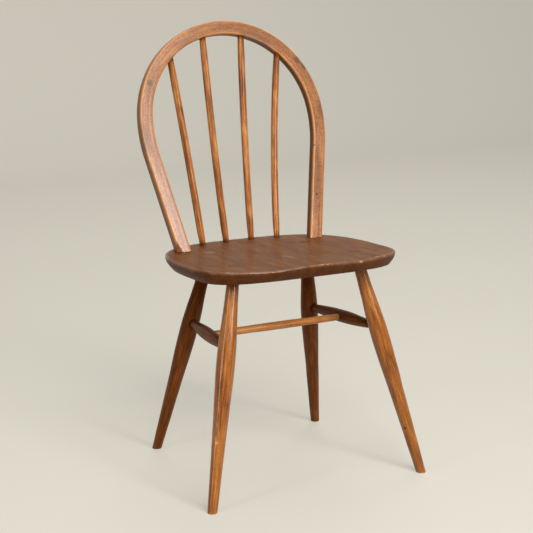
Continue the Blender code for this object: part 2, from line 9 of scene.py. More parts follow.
import bpy
import numpy as np
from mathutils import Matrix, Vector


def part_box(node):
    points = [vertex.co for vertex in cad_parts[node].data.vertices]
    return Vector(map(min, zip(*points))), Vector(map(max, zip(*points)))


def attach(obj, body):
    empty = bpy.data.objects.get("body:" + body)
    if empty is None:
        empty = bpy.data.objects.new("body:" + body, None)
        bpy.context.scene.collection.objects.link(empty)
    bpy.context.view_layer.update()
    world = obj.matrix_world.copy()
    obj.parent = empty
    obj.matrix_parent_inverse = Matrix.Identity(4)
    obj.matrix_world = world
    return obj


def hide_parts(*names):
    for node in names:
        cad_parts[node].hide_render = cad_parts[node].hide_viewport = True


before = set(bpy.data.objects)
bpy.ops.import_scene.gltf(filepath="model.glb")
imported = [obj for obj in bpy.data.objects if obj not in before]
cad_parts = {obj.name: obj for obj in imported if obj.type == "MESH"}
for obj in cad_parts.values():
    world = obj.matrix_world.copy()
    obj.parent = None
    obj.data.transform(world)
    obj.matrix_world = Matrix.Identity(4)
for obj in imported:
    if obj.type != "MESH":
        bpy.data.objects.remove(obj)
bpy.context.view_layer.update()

# The seat: one plank of open-grained wood, its grain running from front to back, stained and varnished.
# Its top is saddled, with a shallow dish and two thigh hollows, and its edge is undercut all round.
# Legs and hoop come right through it in round holes, and the back sticks stand in blind ones.
SEAT_HEIGHT = 0.412
SEAT_SLOPE = math.radians(3.5)
SEAT_THICKNESS = 0.024
SEAT_HALF_WIDTH = 0.1996
SEAT_FRONT_REACH = 0.1205
SEAT_BACK_REACH = 0.2200
SEAT_TOP_SQUARENESS = (3.44, 3.0)
SEAT_UNDER_SQUARENESS = (3.75, 3.0)
SEAT_SIDE_UNDERCUT = 0.010
SEAT_FRONT_UNDERCUT = 0.013
SEAT_SIDE_BULGE = 0.0022
SEAT_ARRIS = 0.003
DISH_DEPTH = 0.0045
DISH_BACKWARD = 0.055
DISH_HALF_WIDTH = 0.155
DISH_HALF_LENGTH = 0.130
THIGH_DEPTH = 0.0028
THIGH_SIDEWAYS = 0.088
THIGH_SPREAD = 0.050
SEAT_RIM_POINTS = 480
SEAT_TOP_RINGS = 64
SIDES = {"left": -1, "right": 1}
HOLE_EASE = 0.0003

slope_cos, slope_sin = math.cos(SEAT_SLOPE), math.sin(SEAT_SLOPE)
SEAT_TURN = np.array(((1, 0, 0), (0, slope_cos, slope_sin), (0, -slope_sin, slope_cos)))
SEAT_FRONT_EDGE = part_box("seat")[0].y
SEAT_MIDDLE = np.array(
    (0, SEAT_FRONT_EDGE + SEAT_FRONT_REACH * slope_cos + SEAT_ARRIS * slope_sin, SEAT_HEIGHT)
)


def on_seat(points):
    """The seat's own points (sideways, backward, above its top plane), turned by its slope into the chair."""
    return np.asarray(points, float) @ SEAT_TURN.T + SEAT_MIDDLE


def in_seat(points):
    """The chair's points in the seat's own frame, the reverse of on_seat."""
    return (np.asarray(points, float) - SEAT_MIDDLE) @ SEAT_TURN


def seat_outline(half_width, front, back, squareness):
    """Outline of two half superellipses, |x/a|^n + |y/b|^n = 1, at even steps from the front's middle."""
    angle = np.linspace(-math.pi / 2, 3 * math.pi / 2, 20 * SEAT_RIM_POINTS + 1)
    c, s = np.cos(angle), np.sin(angle)
    power = 2 / np.where(s < 0, *squareness)
    x = half_width * np.sign(c) * np.abs(c) ** power
    y = np.where(s < 0, front, back) * np.sign(s) * np.abs(s) ** power
    walked = np.concatenate([[0], np.cumsum(np.hypot(np.diff(x), np.diff(y)))])
    stops = np.linspace(0, walked[-1], SEAT_RIM_POINTS, endpoint=False)
    return np.column_stack([np.interp(stops, walked, x), np.interp(stops, walked, y)])


def saddle(x, y):
    """Depth of the hollowed top: a dish D(1 - r^2)^2, and two bell-shaped thigh hollows, deeper forward."""
    dish = (x / DISH_HALF_WIDTH) ** 2 + ((y - DISH_BACKWARD) / DISH_HALF_LENGTH) ** 2
    forward = np.clip((DISH_BACKWARD - y) / SEAT_FRONT_REACH, 0, 1)
    thigh = np.exp(-(((np.abs(x) - THIGH_SIDEWAYS) / THIGH_SPREAD) ** 2))
    return DISH_DEPTH * np.clip(1 - dish, 0, 1) ** 2 + THIGH_DEPTH * forward**2 * (3 - 2 * forward) * thigh


def ripple(points, span, seed):
    """Smooth unevenness, mostly from -1 to 1: twelve sine waves about the span long, in seeded directions."""
    dice = np.random.default_rng(seed)
    way = dice.normal(size=(12, 3))
    way /= np.linalg.norm(way, axis=1, keepdims=True)
    length = span * dice.uniform(0.6, 1.6, 12)
    waves = np.sin(points @ (way * 2 * math.pi / length[:, None]).T + dice.uniform(0, 2 * math.pi, 12))
    return waves.sum(-1) / math.sqrt(12)


def seat_rings():
    """Rings of the seat in its own frame: across the flat underside, up the bulged edge, in over the top."""
    under = seat_outline(
        SEAT_HALF_WIDTH - SEAT_SIDE_UNDERCUT,
        SEAT_FRONT_REACH - SEAT_FRONT_UNDERCUT,
        SEAT_BACK_REACH - SEAT_SIDE_UNDERCUT,
        SEAT_UNDER_SQUARENESS,
    )
    top = seat_outline(SEAT_HALF_WIDTH, SEAT_FRONT_REACH, SEAT_BACK_REACH, SEAT_TOP_SQUARENESS)
    sizes = np.array((SEAT_HALF_WIDTH, (SEAT_FRONT_REACH + SEAT_BACK_REACH) / 2))
    lower = SEAT_ARRIS / 2
    rings = []
    for share in (0.25, 0.5, 0.75, 0.9):
        rings.append(np.column_stack([under * share, np.full(len(under), -SEAT_THICKNESS)]))
    for turn in np.radians((0, 30, 60)):
        inset = 1 - lower * (1 - math.sin(turn)) / sizes
        z = -SEAT_THICKNESS + lower * (1 - math.cos(turn))
        rings.append(np.column_stack([under * inset, np.full(len(under), z)]))
    rim_z = -saddle(*top.T) - SEAT_ARRIS
    foot_z = lower - SEAT_THICKNESS
    for rise in np.linspace(0, 1, 14):
        swell = 1 + SEAT_SIDE_BULGE * math.sin(math.pi * rise) / SEAT_HALF_WIDTH
        edge = (under + (top - under) * rise) * swell
        rings.append(np.column_stack([edge, foot_z + (rim_z - foot_z) * rise]))
    for turn in np.radians(np.linspace(10, 80, 8)):
        edge = top * (1 - SEAT_ARRIS * (1 - math.cos(turn)) / sizes)
        rings.append(np.column_stack([edge, -saddle(*edge.T) - SEAT_ARRIS * (1 - math.sin(turn))]))
    for share in np.linspace(1, 0.01, SEAT_TOP_RINGS):
        edge = top * (1 - SEAT_ARRIS / sizes) * share
        rings.append(np.column_stack([edge, -saddle(*edge.T)]))
    return np.array(rings)


def skin(name, *shells):
    """Mesh over one or more closed shells, each of rings (rings, points round, 3) with a pole at both ends.

    A shell's rings run anticlockwise and towards its far end, so its faces point outwards.
    """
    points, faces, base = [], [], 0
    for rings in shells:
        count, around = rings.shape[:2]
        here = np.arange(around)
        beyond = np.roll(here, -1)
        row = base + np.arange(count - 1)[:, None] * around
        quads = np.stack([row + here, row + beyond, row + around + beyond, row + around + here], -1)
        last = base + (count - 1) * around
        pole = np.full(around, base + count * around)
        faces += quads.reshape(-1, 4).tolist()
        faces += np.column_stack([base + beyond, base + here, pole]).tolist()
        faces += np.column_stack([last + here, last + beyond, pole + 1]).tolist()
        points += [rings.reshape(-1, 3), rings[0].mean(0)[None], rings[-1].mean(0)[None]]
        base += count * around + 2
    mesh = bpy.data.meshes.new(name)
    mesh.from_pydata(np.concatenate(points), [], faces)
    piece = bpy.data.objects.new(name, mesh)
    bpy.context.scene.collection.objects.link(piece)
    return piece


def along(start, end):
    """Unit axes of a straight piece, as rows: the third from start to end, the first as level as can be."""
    z = (end - start) / np.linalg.norm(end - start)
    level = np.array((1.0, 0, 0)) if abs(z[0]) < abs(z[1]) + abs(z[2]) else np.array((0, 1.0, 0))
    x = level - z * (level @ z)
    x /= np.linalg.norm(x)
    return np.array((x, np.cross(z, x), z))


def bar(start, end, radius):
    """Two rings of a plain round bar, for a drill."""
    axes = along(start, end)
    angle = np.linspace(0, 2 * math.pi, 48, endpoint=False)
    ring = radius * np.column_stack([np.cos(angle), np.sin(angle)]) @ axes[:2]
    return np.array((start + ring, end + ring))


SHARP_EDGE = math.radians(35)


def drill(piece, holes):
    """Cut round holes, each a (start, end, radius), and shade the piece smooth between its sharp edges."""
    if holes:
        bit = skin("drill", *[bar(*hole) for hole in holes])
        step = piece.modifiers.new("holes", "BOOLEAN")
        step.operation = "DIFFERENCE"
        step.object = bit
        view = bpy.context.evaluated_depsgraph_get()
        view.update()
        piece.data = bpy.data.meshes.new_from_object(piece.evaluated_get(view))
        piece.modifiers.clear()
        bpy.data.objects.remove(bit)
    piece.data.shade_smooth()
    piece.data.set_sharp_from_angle(angle=SHARP_EDGE)


def places(piece):
    """Every vertex of the piece, as an array."""
    points = np.empty(len(piece.data.vertices) * 3, np.float32)
    piece.data.vertices.foreach_get("co", points)
    return points.reshape(-1, 3).astype(float)


def mark(piece, name, values):
    """Keep one number or one vector for each vertex, for the materials to read."""
    one = values.ndim == 1
    layer = piece.data.attributes.new(name, "FLOAT" if one else "FLOAT_VECTOR", "POINT")
    layer.data.foreach_set("value" if one else "vector", values.astype(np.float32).ravel())


def put(tree, kind, feeds=None, **settings):
    """Add a shader node: settings are its own, and feeds go to its sockets, linked or set."""
    made = tree.nodes.new("ShaderNode" + kind)
    for name, value in settings.items():
        setattr(made, name, value)
    for name, feed in (feeds or {}).items():
        if isinstance(feed, bpy.types.NodeSocket):
            tree.links.new(feed, made.inputs[name])
        else:
            made.inputs[name].default_value = feed
    return made


def maths(tree, operation, a, b=0.0, clamp=False):
    """Result of one arithmetic node."""
    return put(tree, "Math", {0: a, 1: b}, operation=operation, use_clamp=clamp).outputs[0]


def mixed(tree, factor, a, b):
    """Colour b over colour a by the factor."""
    return put(tree, "Mix", {0: factor, 6: a, 7: b}, data_type="RGBA").outputs[2]


def eased(tree, value, low, high, to_low=0.0, to_high=1.0):
    """Smooth step of a value from low to high."""
    feeds = {"Value": value, "From Min": low, "From Max": high, "To Min": to_low, "To Max": to_high}
    return put(tree, "MapRange", feeds, interpolation_type="SMOOTHSTEP").outputs["Result"]


def noise(tree, vector, stretch, detail=2.0, roughness=0.5, distortion=0.0):
    """Noise whose cells are the stretch's reciprocal in metres along each of the vector's axes."""
    scaled = put(tree, "VectorMath", {0: vector, 1: stretch}, operation="MULTIPLY").outputs[0]
    feeds = {
        "Vector": scaled,
        "Scale": 1.0,
        "Detail": detail,
        "Roughness": roughness,
        "Distortion": distortion,
    }
    return put(tree, "TexNoise", feeds).outputs["Fac"]


def open_group(name, inputs, outputs):
    """Start a node group with named inputs and outputs, each name given with its kind of socket."""
    group = bpy.data.node_groups.new(name, "ShaderNodeTree")
    for direction, sockets in (("INPUT", inputs), ("OUTPUT", outputs)):
        for label, kind in sockets.items():
            group.interface.new_socket(label, in_out=direction, socket_type="NodeSocket" + kind)
    return group, group.nodes.new("NodeGroupInput").outputs, group.nodes.new("NodeGroupOutput").inputs


def grain_group():
    """Wood grain along the third axis: rings round an off-centre pith, fibre, pores, flecks and cloud."""
    group, given, out = open_group(
        "wood_grain",
        {"Wood": "Vector", "Ring Spacing": "Float", "Pith": "Vector"},
        {"Rings": "Float", "Fibre": "Float", "Pores": "Float", "Flecks": "Float", "Cloud": "Float"},
    )
    wood = given["Wood"]
    shifted = put(group, "VectorMath", {0: wood, 1: given["Pith"]}, operation="SUBTRACT").outputs[0]
    across = put(group, "VectorMath", {0: shifted, 1: (1, 1, 0)}, operation="MULTIPLY").outputs[0]
    far = put(group, "VectorMath", {0: across}, operation="LENGTH").outputs["Value"]
    wander = maths(group, "MULTIPLY", noise(group, wood, (14, 14, 2.2), 2.0), 0.016)
    ring = maths(group, "DIVIDE", maths(group, "ADD", far, wander), given["Ring Spacing"])
    group.links.new(maths(group, "POWER", maths(group, "FRACT", ring), 2.5), out["Rings"])
    group.links.new(noise(group, wood, (430, 430, 7), 3.0, 0.6), out["Fibre"])
    group.links.new(eased(group, noise(group, wood, (1500, 1500, 120), 2.0, 0.6), 0.60, 0.72), out["Pores"])
    group.links.new(eased(group, noise(group, wood, (330, 330, 800), 1.0), 0.40, 0.66), out["Flecks"])
    group.links.new(noise(group, wood, (62, 62, 13), 3.0, 0.6, 0.6), out["Cloud"])
    return group


def wear_group():
    """Where varnish has gone: the rubbed arrises, broken up by the grain, and stray dirt anywhere."""
    group, given, out = open_group(
        "worn_varnish",
        {"Wood": "Vector", "Rub": "Float"},
        {"Bare": "Float", "Thin": "Float", "Dirt": "Float"},
    )
    wood = given["Wood"]
    patchy = noise(group, wood, (160, 160, 30), 4.0, 0.65)
    uneven = maths(group, "MULTIPLY", maths(group, "SUBTRACT", patchy, 0.5), 1.5)
    reach = maths(group, "ADD", given["Rub"], uneven)
    group.links.new(eased(group, reach, 0.75, 1.05), out["Bare"])
    group.links.new(eased(group, reach, 0.25, 0.95), out["Thin"])
    spots = noise(group, wood, (70, 70, 28), 4.0, 0.7)
    group.links.new(eased(group, spots, 0.56, 0.74), out["Dirt"])
    return group


def knock_group():
    """One knock, stain or crack: whole near its place, ragged round it, and gone past its reach."""
    group, given, out = open_group(
        "knock_mark", {"Wood": "Vector", "Place": "Vector", "Reach": "Vector"}, {"Mark": "Float"}
    )
    away = put(group, "VectorMath", {0: given["Wood"], 1: given["Place"]}, operation="SUBTRACT").outputs[0]
    shares = put(group, "VectorMath", {0: away, 1: given["Reach"]}, operation="DIVIDE").outputs[0]
    far = put(group, "VectorMath", {0: shares}, operation="LENGTH").outputs["Value"]
    ragged = maths(group, "MULTIPLY", noise(group, given["Wood"], (700, 700, 700), 2.0), 0.9)
    group.links.new(eased(group, maths(group, "ADD", far, ragged), 1.0, 1.45, 1.0, 0.0), out["Mark"])
    return group


GRAIN = grain_group()
WEAR = wear_group()
KNOCK = knock_group()


def varnished(name, tones, bare, ring_spacing, pith, streak, flecks, gloss, tint, polish=0.0, knocks=()):
    """Varnished wood: deep, middle and light tones along the grain, dark in dirt and in painted shade, bare
    where rubbed.

    Streak and flecks say how strongly the grain shows, gloss is how whole the varnish is, polish is how much
    shine rubbing adds, and tint colours the sheen of the wood under the varnish. Each knock is (place, reach,
    colour, strength) on the piece's own wood axes.
    """
    wood = bpy.data.materials.new(name)
    wood.use_nodes = True
    tree = wood.node_tree
    shader = tree.nodes["Principled BSDF"]
    place = put(tree, "Attribute", attribute_name="wood").outputs["Vector"]
    rub = put(tree, "Attribute", attribute_name="rub").outputs["Fac"]
    dirt_and_shade = put(tree, "Attribute", attribute_name="dirt_and_shade").outputs["Fac"]
    rings = {"Wood": place, "Ring Spacing": ring_spacing, "Pith": pith}
    grain = put(tree, "Group", rings, node_tree=GRAIN).outputs
    worn = put(tree, "Group", {"Wood": place, "Rub": rub}, node_tree=WEAR).outputs
    tone = 0.5
    for part, middle, weight in (
        (grain["Cloud"], 0.5, 1.9 * streak),
        (grain["Fibre"], 0.5, 1.7 * streak),
        (grain["Rings"], 0.3, -0.18 * streak),
        (grain["Flecks"], 0.3, -flecks),
    ):
        swing = maths(tree, "MULTIPLY", maths(tree, "SUBTRACT", part, middle), weight)
        tone = maths(tree, "ADD", swing, tone)
    ramp = put(tree, "ValToRGB", {"Fac": tone})
    ramp.color_ramp.elements[0].position = 0.10
    ramp.color_ramp.elements[0].color = (*tones[0], 1)
    ramp.color_ramp.elements[1].position = 0.90
    ramp.color_ramp.elements[1].color = (*tones[2], 1)
    ramp.color_ramp.elements.new(0.5).color = (*tones[1], 1)
    dark = tuple(0.3 * part for part in tones[0])
    colour = ramp.outputs["Color"]
    for mask, share, over in (
        (grain["Pores"], 0.30, dark),
        (worn["Dirt"], 0.34, dark),
        (worn["Thin"], 0.30, tones[2]),
        (worn["Bare"], 0.85, bare),
        (dirt_and_shade, 0.9, dark),
    ):
        colour = mixed(tree, maths(tree, "MULTIPLY", mask, share, True), colour, (*over, 1))
    height = maths(tree, "ADD", maths(tree, "MULTIPLY", grain["Fibre"], 0.6), grain["Pores"])
    for spot, reach, over, strength in knocks:
        feeds = {"Wood": place, "Place": spot, "Reach": reach}
        knock = put(tree, "Group", feeds, node_tree=KNOCK).outputs["Mark"]
        colour = mixed(tree, maths(tree, "MULTIPLY", knock, strength), colour, (*over, 1))
        height = maths(tree, "SUBTRACT", height, knock)
    tree.links.new(colour, shader.inputs["Base Color"])
    rough = maths(tree, "ADD", maths(tree, "MULTIPLY", worn["Bare"], 0.15), 0.58 - 0.20 * gloss)
    rough = maths(tree, "ADD", rough, maths(tree, "MULTIPLY", worn["Dirt"], 0.10))
    tree.links.new(rough, shader.inputs["Roughness"])
    worn_off = maths(tree, "MULTIPLY", worn["Bare"], 0.7)
    lost = maths(tree, "MAXIMUM", worn_off, maths(tree, "MULTIPLY", dirt_and_shade, 2.2))
    whole = maths(tree, "MULTIPLY", maths(tree, "SUBTRACT", 1.0, lost, True), gloss)
    rubbed = maths(tree, "MULTIPLY", rub, polish)
    tree.links.new(maths(tree, "ADD", whole, rubbed, True), shader.inputs["Coat Weight"])
    bump = put(tree, "Bump", {"Strength": 0.15, "Distance": 0.0004, "Height": height})
    tree.links.new(bump.outputs["Normal"], shader.inputs["Normal"])
    shader.inputs["Specular IOR Level"].default_value = 0.22
    shader.inputs["Specular Tint"].default_value = (*tint, 1)
    shader.inputs["Coat Roughness"].default_value = 0.21
    return wood


def finish_piece(piece, wood, node):
    """Give the piece its wood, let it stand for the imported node, and let it ride with the chair."""
    piece.data.materials.clear()
    piece.data.materials.append(wood)
    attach(piece, "root")
    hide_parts(node)


seat_local = seat_rings()
RIM_RING = 25
RIM_RINGS_WORN = 5.0
rim_rub = np.exp(-(((np.arange(len(seat_local)) - RIM_RING) / RIM_RINGS_WORN) ** 2))[:, None]
seat_local = seat_local.copy()
seat_local[..., 2] -= 0.0005 * rim_rub * np.clip(ripple(seat_local, 0.045, 3), 0, 2) ** 2
seat_local[..., 2] += 0.00015 * ripple(seat_local, 0.09, 5) * (seat_local[..., 2] > -0.012)
seat_piece = skin("saddled_seat", on_seat(seat_local))

# The legs: four lathe turnings, slim at the foot, full at the stretchers, and drawn in to a round tenon.
# Each tenon comes up through the seat, is spread by a wedge across the seat's grain, and is trimmed flush.
# Their varnish is rubbed pale round the feet, and the front ones carry a crack and a nick.
FRONT_FOOT = (0.2156, -0.1361)
REAR_FOOT = (0.1766, 0.2057)
FRONT_TENON = (0.1229, -0.0376)
REAR_TENON = (0.1019, 0.1129)
LEG_TENON_RADIUS = 0.0110
LEG_SHAPE = ((0.0, 0.0088), (0.36, 0.0131), (0.71, 0.0166), (0.91, 0.0123), (1.0, LEG_TENON_RADIUS))
LEG_RINGS = 300
LEG_POINTS = 72
TENON_DROP = 0.00025


def smooth_run(stations, at):
    """Cubic through (distance, value) stations, whose slopes are those of the chords on either side."""
    distance, value = np.array(stations).T
    slope = np.gradient(value, distance)
    at = np.clip(at, distance[0], distance[-1])
    i = np.clip(np.searchsorted(distance, at, side="right") - 1, 0, len(distance) - 2)
    span = distance[i + 1] - distance[i]
    t = (at - distance[i]) / span
    start = (1 + 2 * t) * (1 - t) ** 2 * value[i] + t * (1 - t) ** 2 * span * slope[i]
    return start + t * t * (3 - 2 * t) * value[i + 1] + t * t * (t - 1) * span * slope[i + 1]


def leg_ends(side, end):
    """Foot on the floor, and where the leg's axis leaves the seat's top plane."""
    foot, tenon = (FRONT_FOOT, FRONT_TENON) if end == "front" else (REAR_FOOT, REAR_TENON)
    return np.array((side * foot[0], foot[1] + SEAT_MIDDLE[1], 0)), on_seat((side * tenon[0], tenon[1], 0))


def leg_stations(foot, top):
    """Distances up a leg and its radii there: LEG_SHAPE spread from the floor to the tenon's shoulder."""
    length = np.linalg.norm(top - foot)
    shoulder = length - SEAT_THICKNESS / (along(foot, top)[2] @ SEAT_TURN[:, 2]) - LEG_TENON_RADIUS / 2
    return [(share * shoulder, radius) for share, radius in LEG_SHAPE]


def leg_rings(foot, top, seed):
    """Rings of a turned leg: a smooth run of its stations, foot cut level, and tenon cut to the saddle.

    A point at angle a and distance t is foot + r(t)(x cos a + y sin a) + t z, on the leg's axes x, y, z.
    """
    axes = along(foot, top)
    length = np.linalg.norm(top - foot)
    stations = leg_stations(foot, top)
    angle = np.linspace(0, 2 * math.pi, LEG_POINTS, endpoint=False)
    around = np.column_stack([np.cos(angle), np.sin(angle)]) @ axes[:2]
    low = -smooth_run(stations, np.zeros(1)) * around[:, 2] / axes[2, 2]
    high = np.full(LEG_POINTS, length)
    for _ in range(3):
        tip = in_seat(foot + LEG_TENON_RADIUS * around + high[:, None] * axes[2])
        high -= tip[:, 2] + saddle(tip[:, 0], tip[:, 1]) + TENON_DROP
    step = np.concatenate([np.linspace(0, 0.012, 14)[:-1], np.linspace(0.012, 1, LEG_RINGS)])
    distance = low + (high - low) * step[:, None]
    above_floor = (distance - low) * axes[2, 2]
    radius = smooth_run(stations, distance)
    middle = foot + distance[..., None] * axes[2]
    worn = 0.0009 + 0.0006 * np.clip(ripple(middle[:1] + 0.009 * around, 0.012, seed), -1, 2)
    left = np.clip(1 - above_floor / worn, 0, 1)
    radius = radius - worn * (1 - np.sqrt(1 - left**2))
    radius = radius + 0.00005 * np.sin(distance * 2 * math.pi / 0.0021)
    radius = radius + 0.00012 * ripple(middle + radius[..., None] * around, 0.05, seed + 1)
    points = middle + radius[..., None] * around
    return np.dstack([points[..., :2], np.clip(points[..., 2], 0, None)])


LEG_SEEDS = {("front", "left"): 20, ("front", "right"): 24, ("rear", "left"): 28, ("rear", "right"): 32}
SEED_STEP = 1.7
CRACK_DARK = (0.020, 0.006, 0.002)
SCUFF_PALE = (0.620, 0.360, 0.180)


def on_leg(end, side_name, bearing, distance):
    """Place on a leg's surface, on its wood axes, by its bearing round the leg and its height up it."""
    foot, top = leg_ends(SIDES[side_name], end)
    radius = smooth_run(leg_stations(foot, top), np.array((distance,)))[0]
    turn = math.radians(bearing)
    return radius * math.cos(turn), radius * math.sin(turn), distance + SEED_STEP * LEG_SEEDS[end, side_name]


LEG_LOOK = {
    "ring_spacing": 0.0035,
    "pith": (0.03, 0.012, 0),
    "streak": 0.62,
    "flecks": 0.12,
    "tint": (1.0, 0.5, 0.2),
}
front_leg_wood = varnished(
    "front_leg_varnished_beech",
    tones=((0.140, 0.030, 0.003), (0.400, 0.125, 0.015), (0.640, 0.250, 0.050)),
    bare=(0.560, 0.330, 0.170),
    gloss=0.9,
    knocks=(
        (on_leg("front", "left", -137, 0.1657), (0.0017, 0.0017, 0.0150), CRACK_DARK, 0.95),
        (on_leg("front", "left", -141, 0.1420), (0.0018, 0.0018, 0.0140), CRACK_DARK, 0.9),
        (on_leg("front", "left", -130, 0.1222), (0.0032, 0.0032, 0.0036), SCUFF_PALE, 0.9),
        (on_leg("front", "right", -146, 0.0915), (0.0030, 0.0030, 0.0034), CRACK_DARK, 0.9),
    ),
    **LEG_LOOK,
)
# The rear legs are coloured darker than the front ones, with less gloss: painted shade for the seat's shadow
# on them.
rear_leg_shaded_wood = varnished(
    "rear_leg_beech_painted_shade",
    tones=((0.070, 0.014, 0.001), (0.200, 0.052, 0.005), (0.380, 0.120, 0.016)),
    bare=(0.500, 0.280, 0.140),
    gloss=0.3,
    **LEG_LOOK,
)


def end_grain(name, dark, light):
    """Cut end of a tenon or wedge: fine pores between two tones, under worn varnish."""
    grain = bpy.data.materials.new(name)
    grain.use_nodes = True
    tree = grain.node_tree
    shader = tree.nodes["Principled BSDF"]
    tone = noise(tree, put(tree, "TexCoord").outputs["Object"], (900, 900, 200), 3.0, 0.6)
    colour = mixed(tree, eased(tree, tone, 0.3, 0.7), (*dark, 1), (*light, 1))
    tree.links.new(colour, shader.inputs["Base Color"])
    tree.links.new(eased(tree, tone, 0.3, 0.7, 0.34, 0.5), shader.inputs["Roughness"])
    bump = put(tree, "Bump", {"Strength": 0.15, "Distance": 0.0003, "Height": tone})
    tree.links.new(bump.outputs["Normal"], shader.inputs["Normal"])
    shader.inputs["Specular IOR Level"].default_value = 0.2
    shader.inputs["Specular Tint"].default_value = (1.0, 0.66, 0.42, 1)
    return grain


tenon_dark = end_grain("tenon_end_stained", (0.095, 0.032, 0.010), (0.175, 0.062, 0.020))
tenon_pale = end_grain("tenon_end_rubbed", (0.170, 0.075, 0.028), (0.400, 0.215, 0.095))
wedge_end = end_grain("wedge_end_grain", (0.045, 0.020, 0.010), (0.120, 0.055, 0.026))

seat_holes = []
leg_pieces = {}
for (end, side_name), seed in LEG_SEEDS.items():
    foot, top = leg_ends(SIDES[side_name], end)
    leg = skin(f"turned_leg_{end}_{side_name}", leg_rings(foot, top, seed))
    leg_pieces[end, side_name] = (leg, foot, top)
    onward = (top - foot) / np.linalg.norm(top - foot)
    seat_holes.append((top - 0.06 * onward, top + 0.03 * onward, LEG_TENON_RADIUS + HOLE_EASE))
    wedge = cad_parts[f"leg_wedge_{end}_{side_name}"]
    wedge.data.materials.clear()
    wedge.data.materials.append(wedge_end)

# The stretchers: two swelled side rails tie front and rear legs, and a thin cross rail ties their middles.
# All three are turned, let into round sockets and glued, and the chair's oldest dirt lies in their joints.
SIDE_RAIL_HEIGHTS = {"front": 0.2740, "rear": 0.2654}
SIDE_RAIL_RADII = (0.0070, 0.0121)
CROSS_RAIL_RADII = (0.0062, 0.0075)
CROSS_RAIL_PLACE = 0.513
RAIL_PAST_AXIS = 0.002
LEG_FULL_RADIUS = LEG_SHAPE[2][1]
RAIL_RINGS = 160
RAIL_POINTS = 56
SOCKET_BOTTOM = 0.0005
FOOT_RUB_HEIGHT = 0.0045
LEG_JOINT_DIRT = 0.0030
SHOULDER_DIRT = 0.0035
REAR_LEG_SEAT_SHADOW = 0.090
RAIL_DIRT = 0.004
CROSS_RAIL_DIRT = 0.003


def rail_rings(start, end, radii, held, seed):
    """Rings of a turned rail, r = end + (middle - end) sin(pi s) between the lengths held in its sockets."""
    axes = along(start, end)
    length = np.linalg.norm(end - start)
    distance = np.linspace(0, length, RAIL_RINGS)
    share = np.clip((distance - held) / (length - 2 * held), 0, 1)
    radius = radii[0] + (radii[1] - radii[0]) * np.sin(math.pi * share)
    angle = np.linspace(0, 2 * math.pi, RAIL_POINTS, endpoint=False)
    around = np.column_stack([np.cos(angle), np.sin(angle)]) @ axes[:2]
    points = start + distance[:, None, None] * axes[2] + radius[:, None, None] * around
    return points + (0.0001 * ripple(points, 0.03, seed))[..., None] * around


def rail_ends(start, end, held):
    """A rail's tips, just past the axes of what carries it, and the sockets that take them."""
    onward = (end - start) / np.linalg.norm(end - start)
    tips = start - RAIL_PAST_AXIS * onward, end + RAIL_PAST_AXIS * onward
    deep = held + RAIL_PAST_AXIS
    sockets = [
        (tips[0] + 2 * deep * onward, tips[0] - SOCKET_BOTTOM * onward),
        (tips[1] - 2 * deep * onward, tips[1] + SOCKET_BOTTOM * onward),
    ]
    return tips, sockets, deep


# The side rails are coloured darker than the legs, with less gloss: painted shade for the shade they stand
# in.
side_rail_shaded_wood = varnished(
    "side_rail_beech_painted_shade",
    tones=((0.060, 0.014, 0.002), (0.160, 0.044, 0.007), (0.310, 0.104, 0.020)),
    bare=(0.520, 0.250, 0.090),
    gloss=0.2,
    **LEG_LOOK,
)
# The cross rail is coloured lighter than the legs: painted light, for the light falling on its top.
cross_rail_lit_wood = varnished(
    "cross_rail_beech_painted_light",
    tones=((0.320, 0.098, 0.018), (0.730, 0.285, 0.072), (0.840, 0.400, 0.125)),
    bare=(0.700, 0.380, 0.150),
    gloss=0.6,
    **LEG_LOOK,
)
leg_holes = {key: [] for key in leg_pieces}
rail_mouths = {key: [] for key in leg_pieces}
side_rails, rail_middles = {}, []
for side_name in SIDES:
    ends = []
    for end in ("rear", "front"):
        _, foot, top = leg_pieces[end, side_name]
        ends.append(foot + (top - foot) * SIDE_RAIL_HEIGHTS[end] / top[2])
    held = LEG_FULL_RADIUS + SIDE_RAIL_RADII[0] / 2
    tips, sockets, deep = rail_ends(*ends, held)
    onward = (ends[1] - ends[0]) / np.linalg.norm(ends[1] - ends[0])
    for end, socket, joint, way in zip(("rear", "front"), sockets, ends, (onward, -onward)):
        leg_holes[end, side_name].append((*socket, SIDE_RAIL_RADII[0] + HOLE_EASE))
        rail_mouths[end, side_name].append((joint + LEG_FULL_RADIUS * way, SIDE_RAIL_RADII[0]))
    rail = skin("side_rail_" + side_name, rail_rings(*tips, SIDE_RAIL_RADII, deep, 40 + len(side_rails)))
    side_rails[side_name] = (rail, *tips)
    rail_middles.append(ends[0] + (ends[1] - ends[0]) * CROSS_RAIL_PLACE)
cross_tips, cross_sockets, cross_deep = rail_ends(*rail_middles, SIDE_RAIL_RADII[1])
cross_rail = skin("cross_rail", rail_rings(*cross_tips, CROSS_RAIL_RADII, cross_deep, 45))


def grime_near(points, spots, reach):
    """Dirt that gathers round joints: exp(-(distance to the nearest spot - its radius) / reach)."""
    far = [np.linalg.norm(points - np.asarray(spot), axis=1) - radius for spot, radius in spots]
    return np.exp(-np.clip(np.min(far, axis=0), 0, None) / reach)


def dress_turning(piece, start, end, seed, rub, dirt_and_shade):
    """Mark a straight piece with its own axes as the wood's, shifted by its seed so that no two match."""
    local = (places(piece) - start) @ along(start, end).T
    mark(piece, "wood", local + np.array((0, 0, SEED_STEP * seed)))
    mark(piece, "rub", rub)
    mark(piece, "dirt_and_shade", dirt_and_shade)


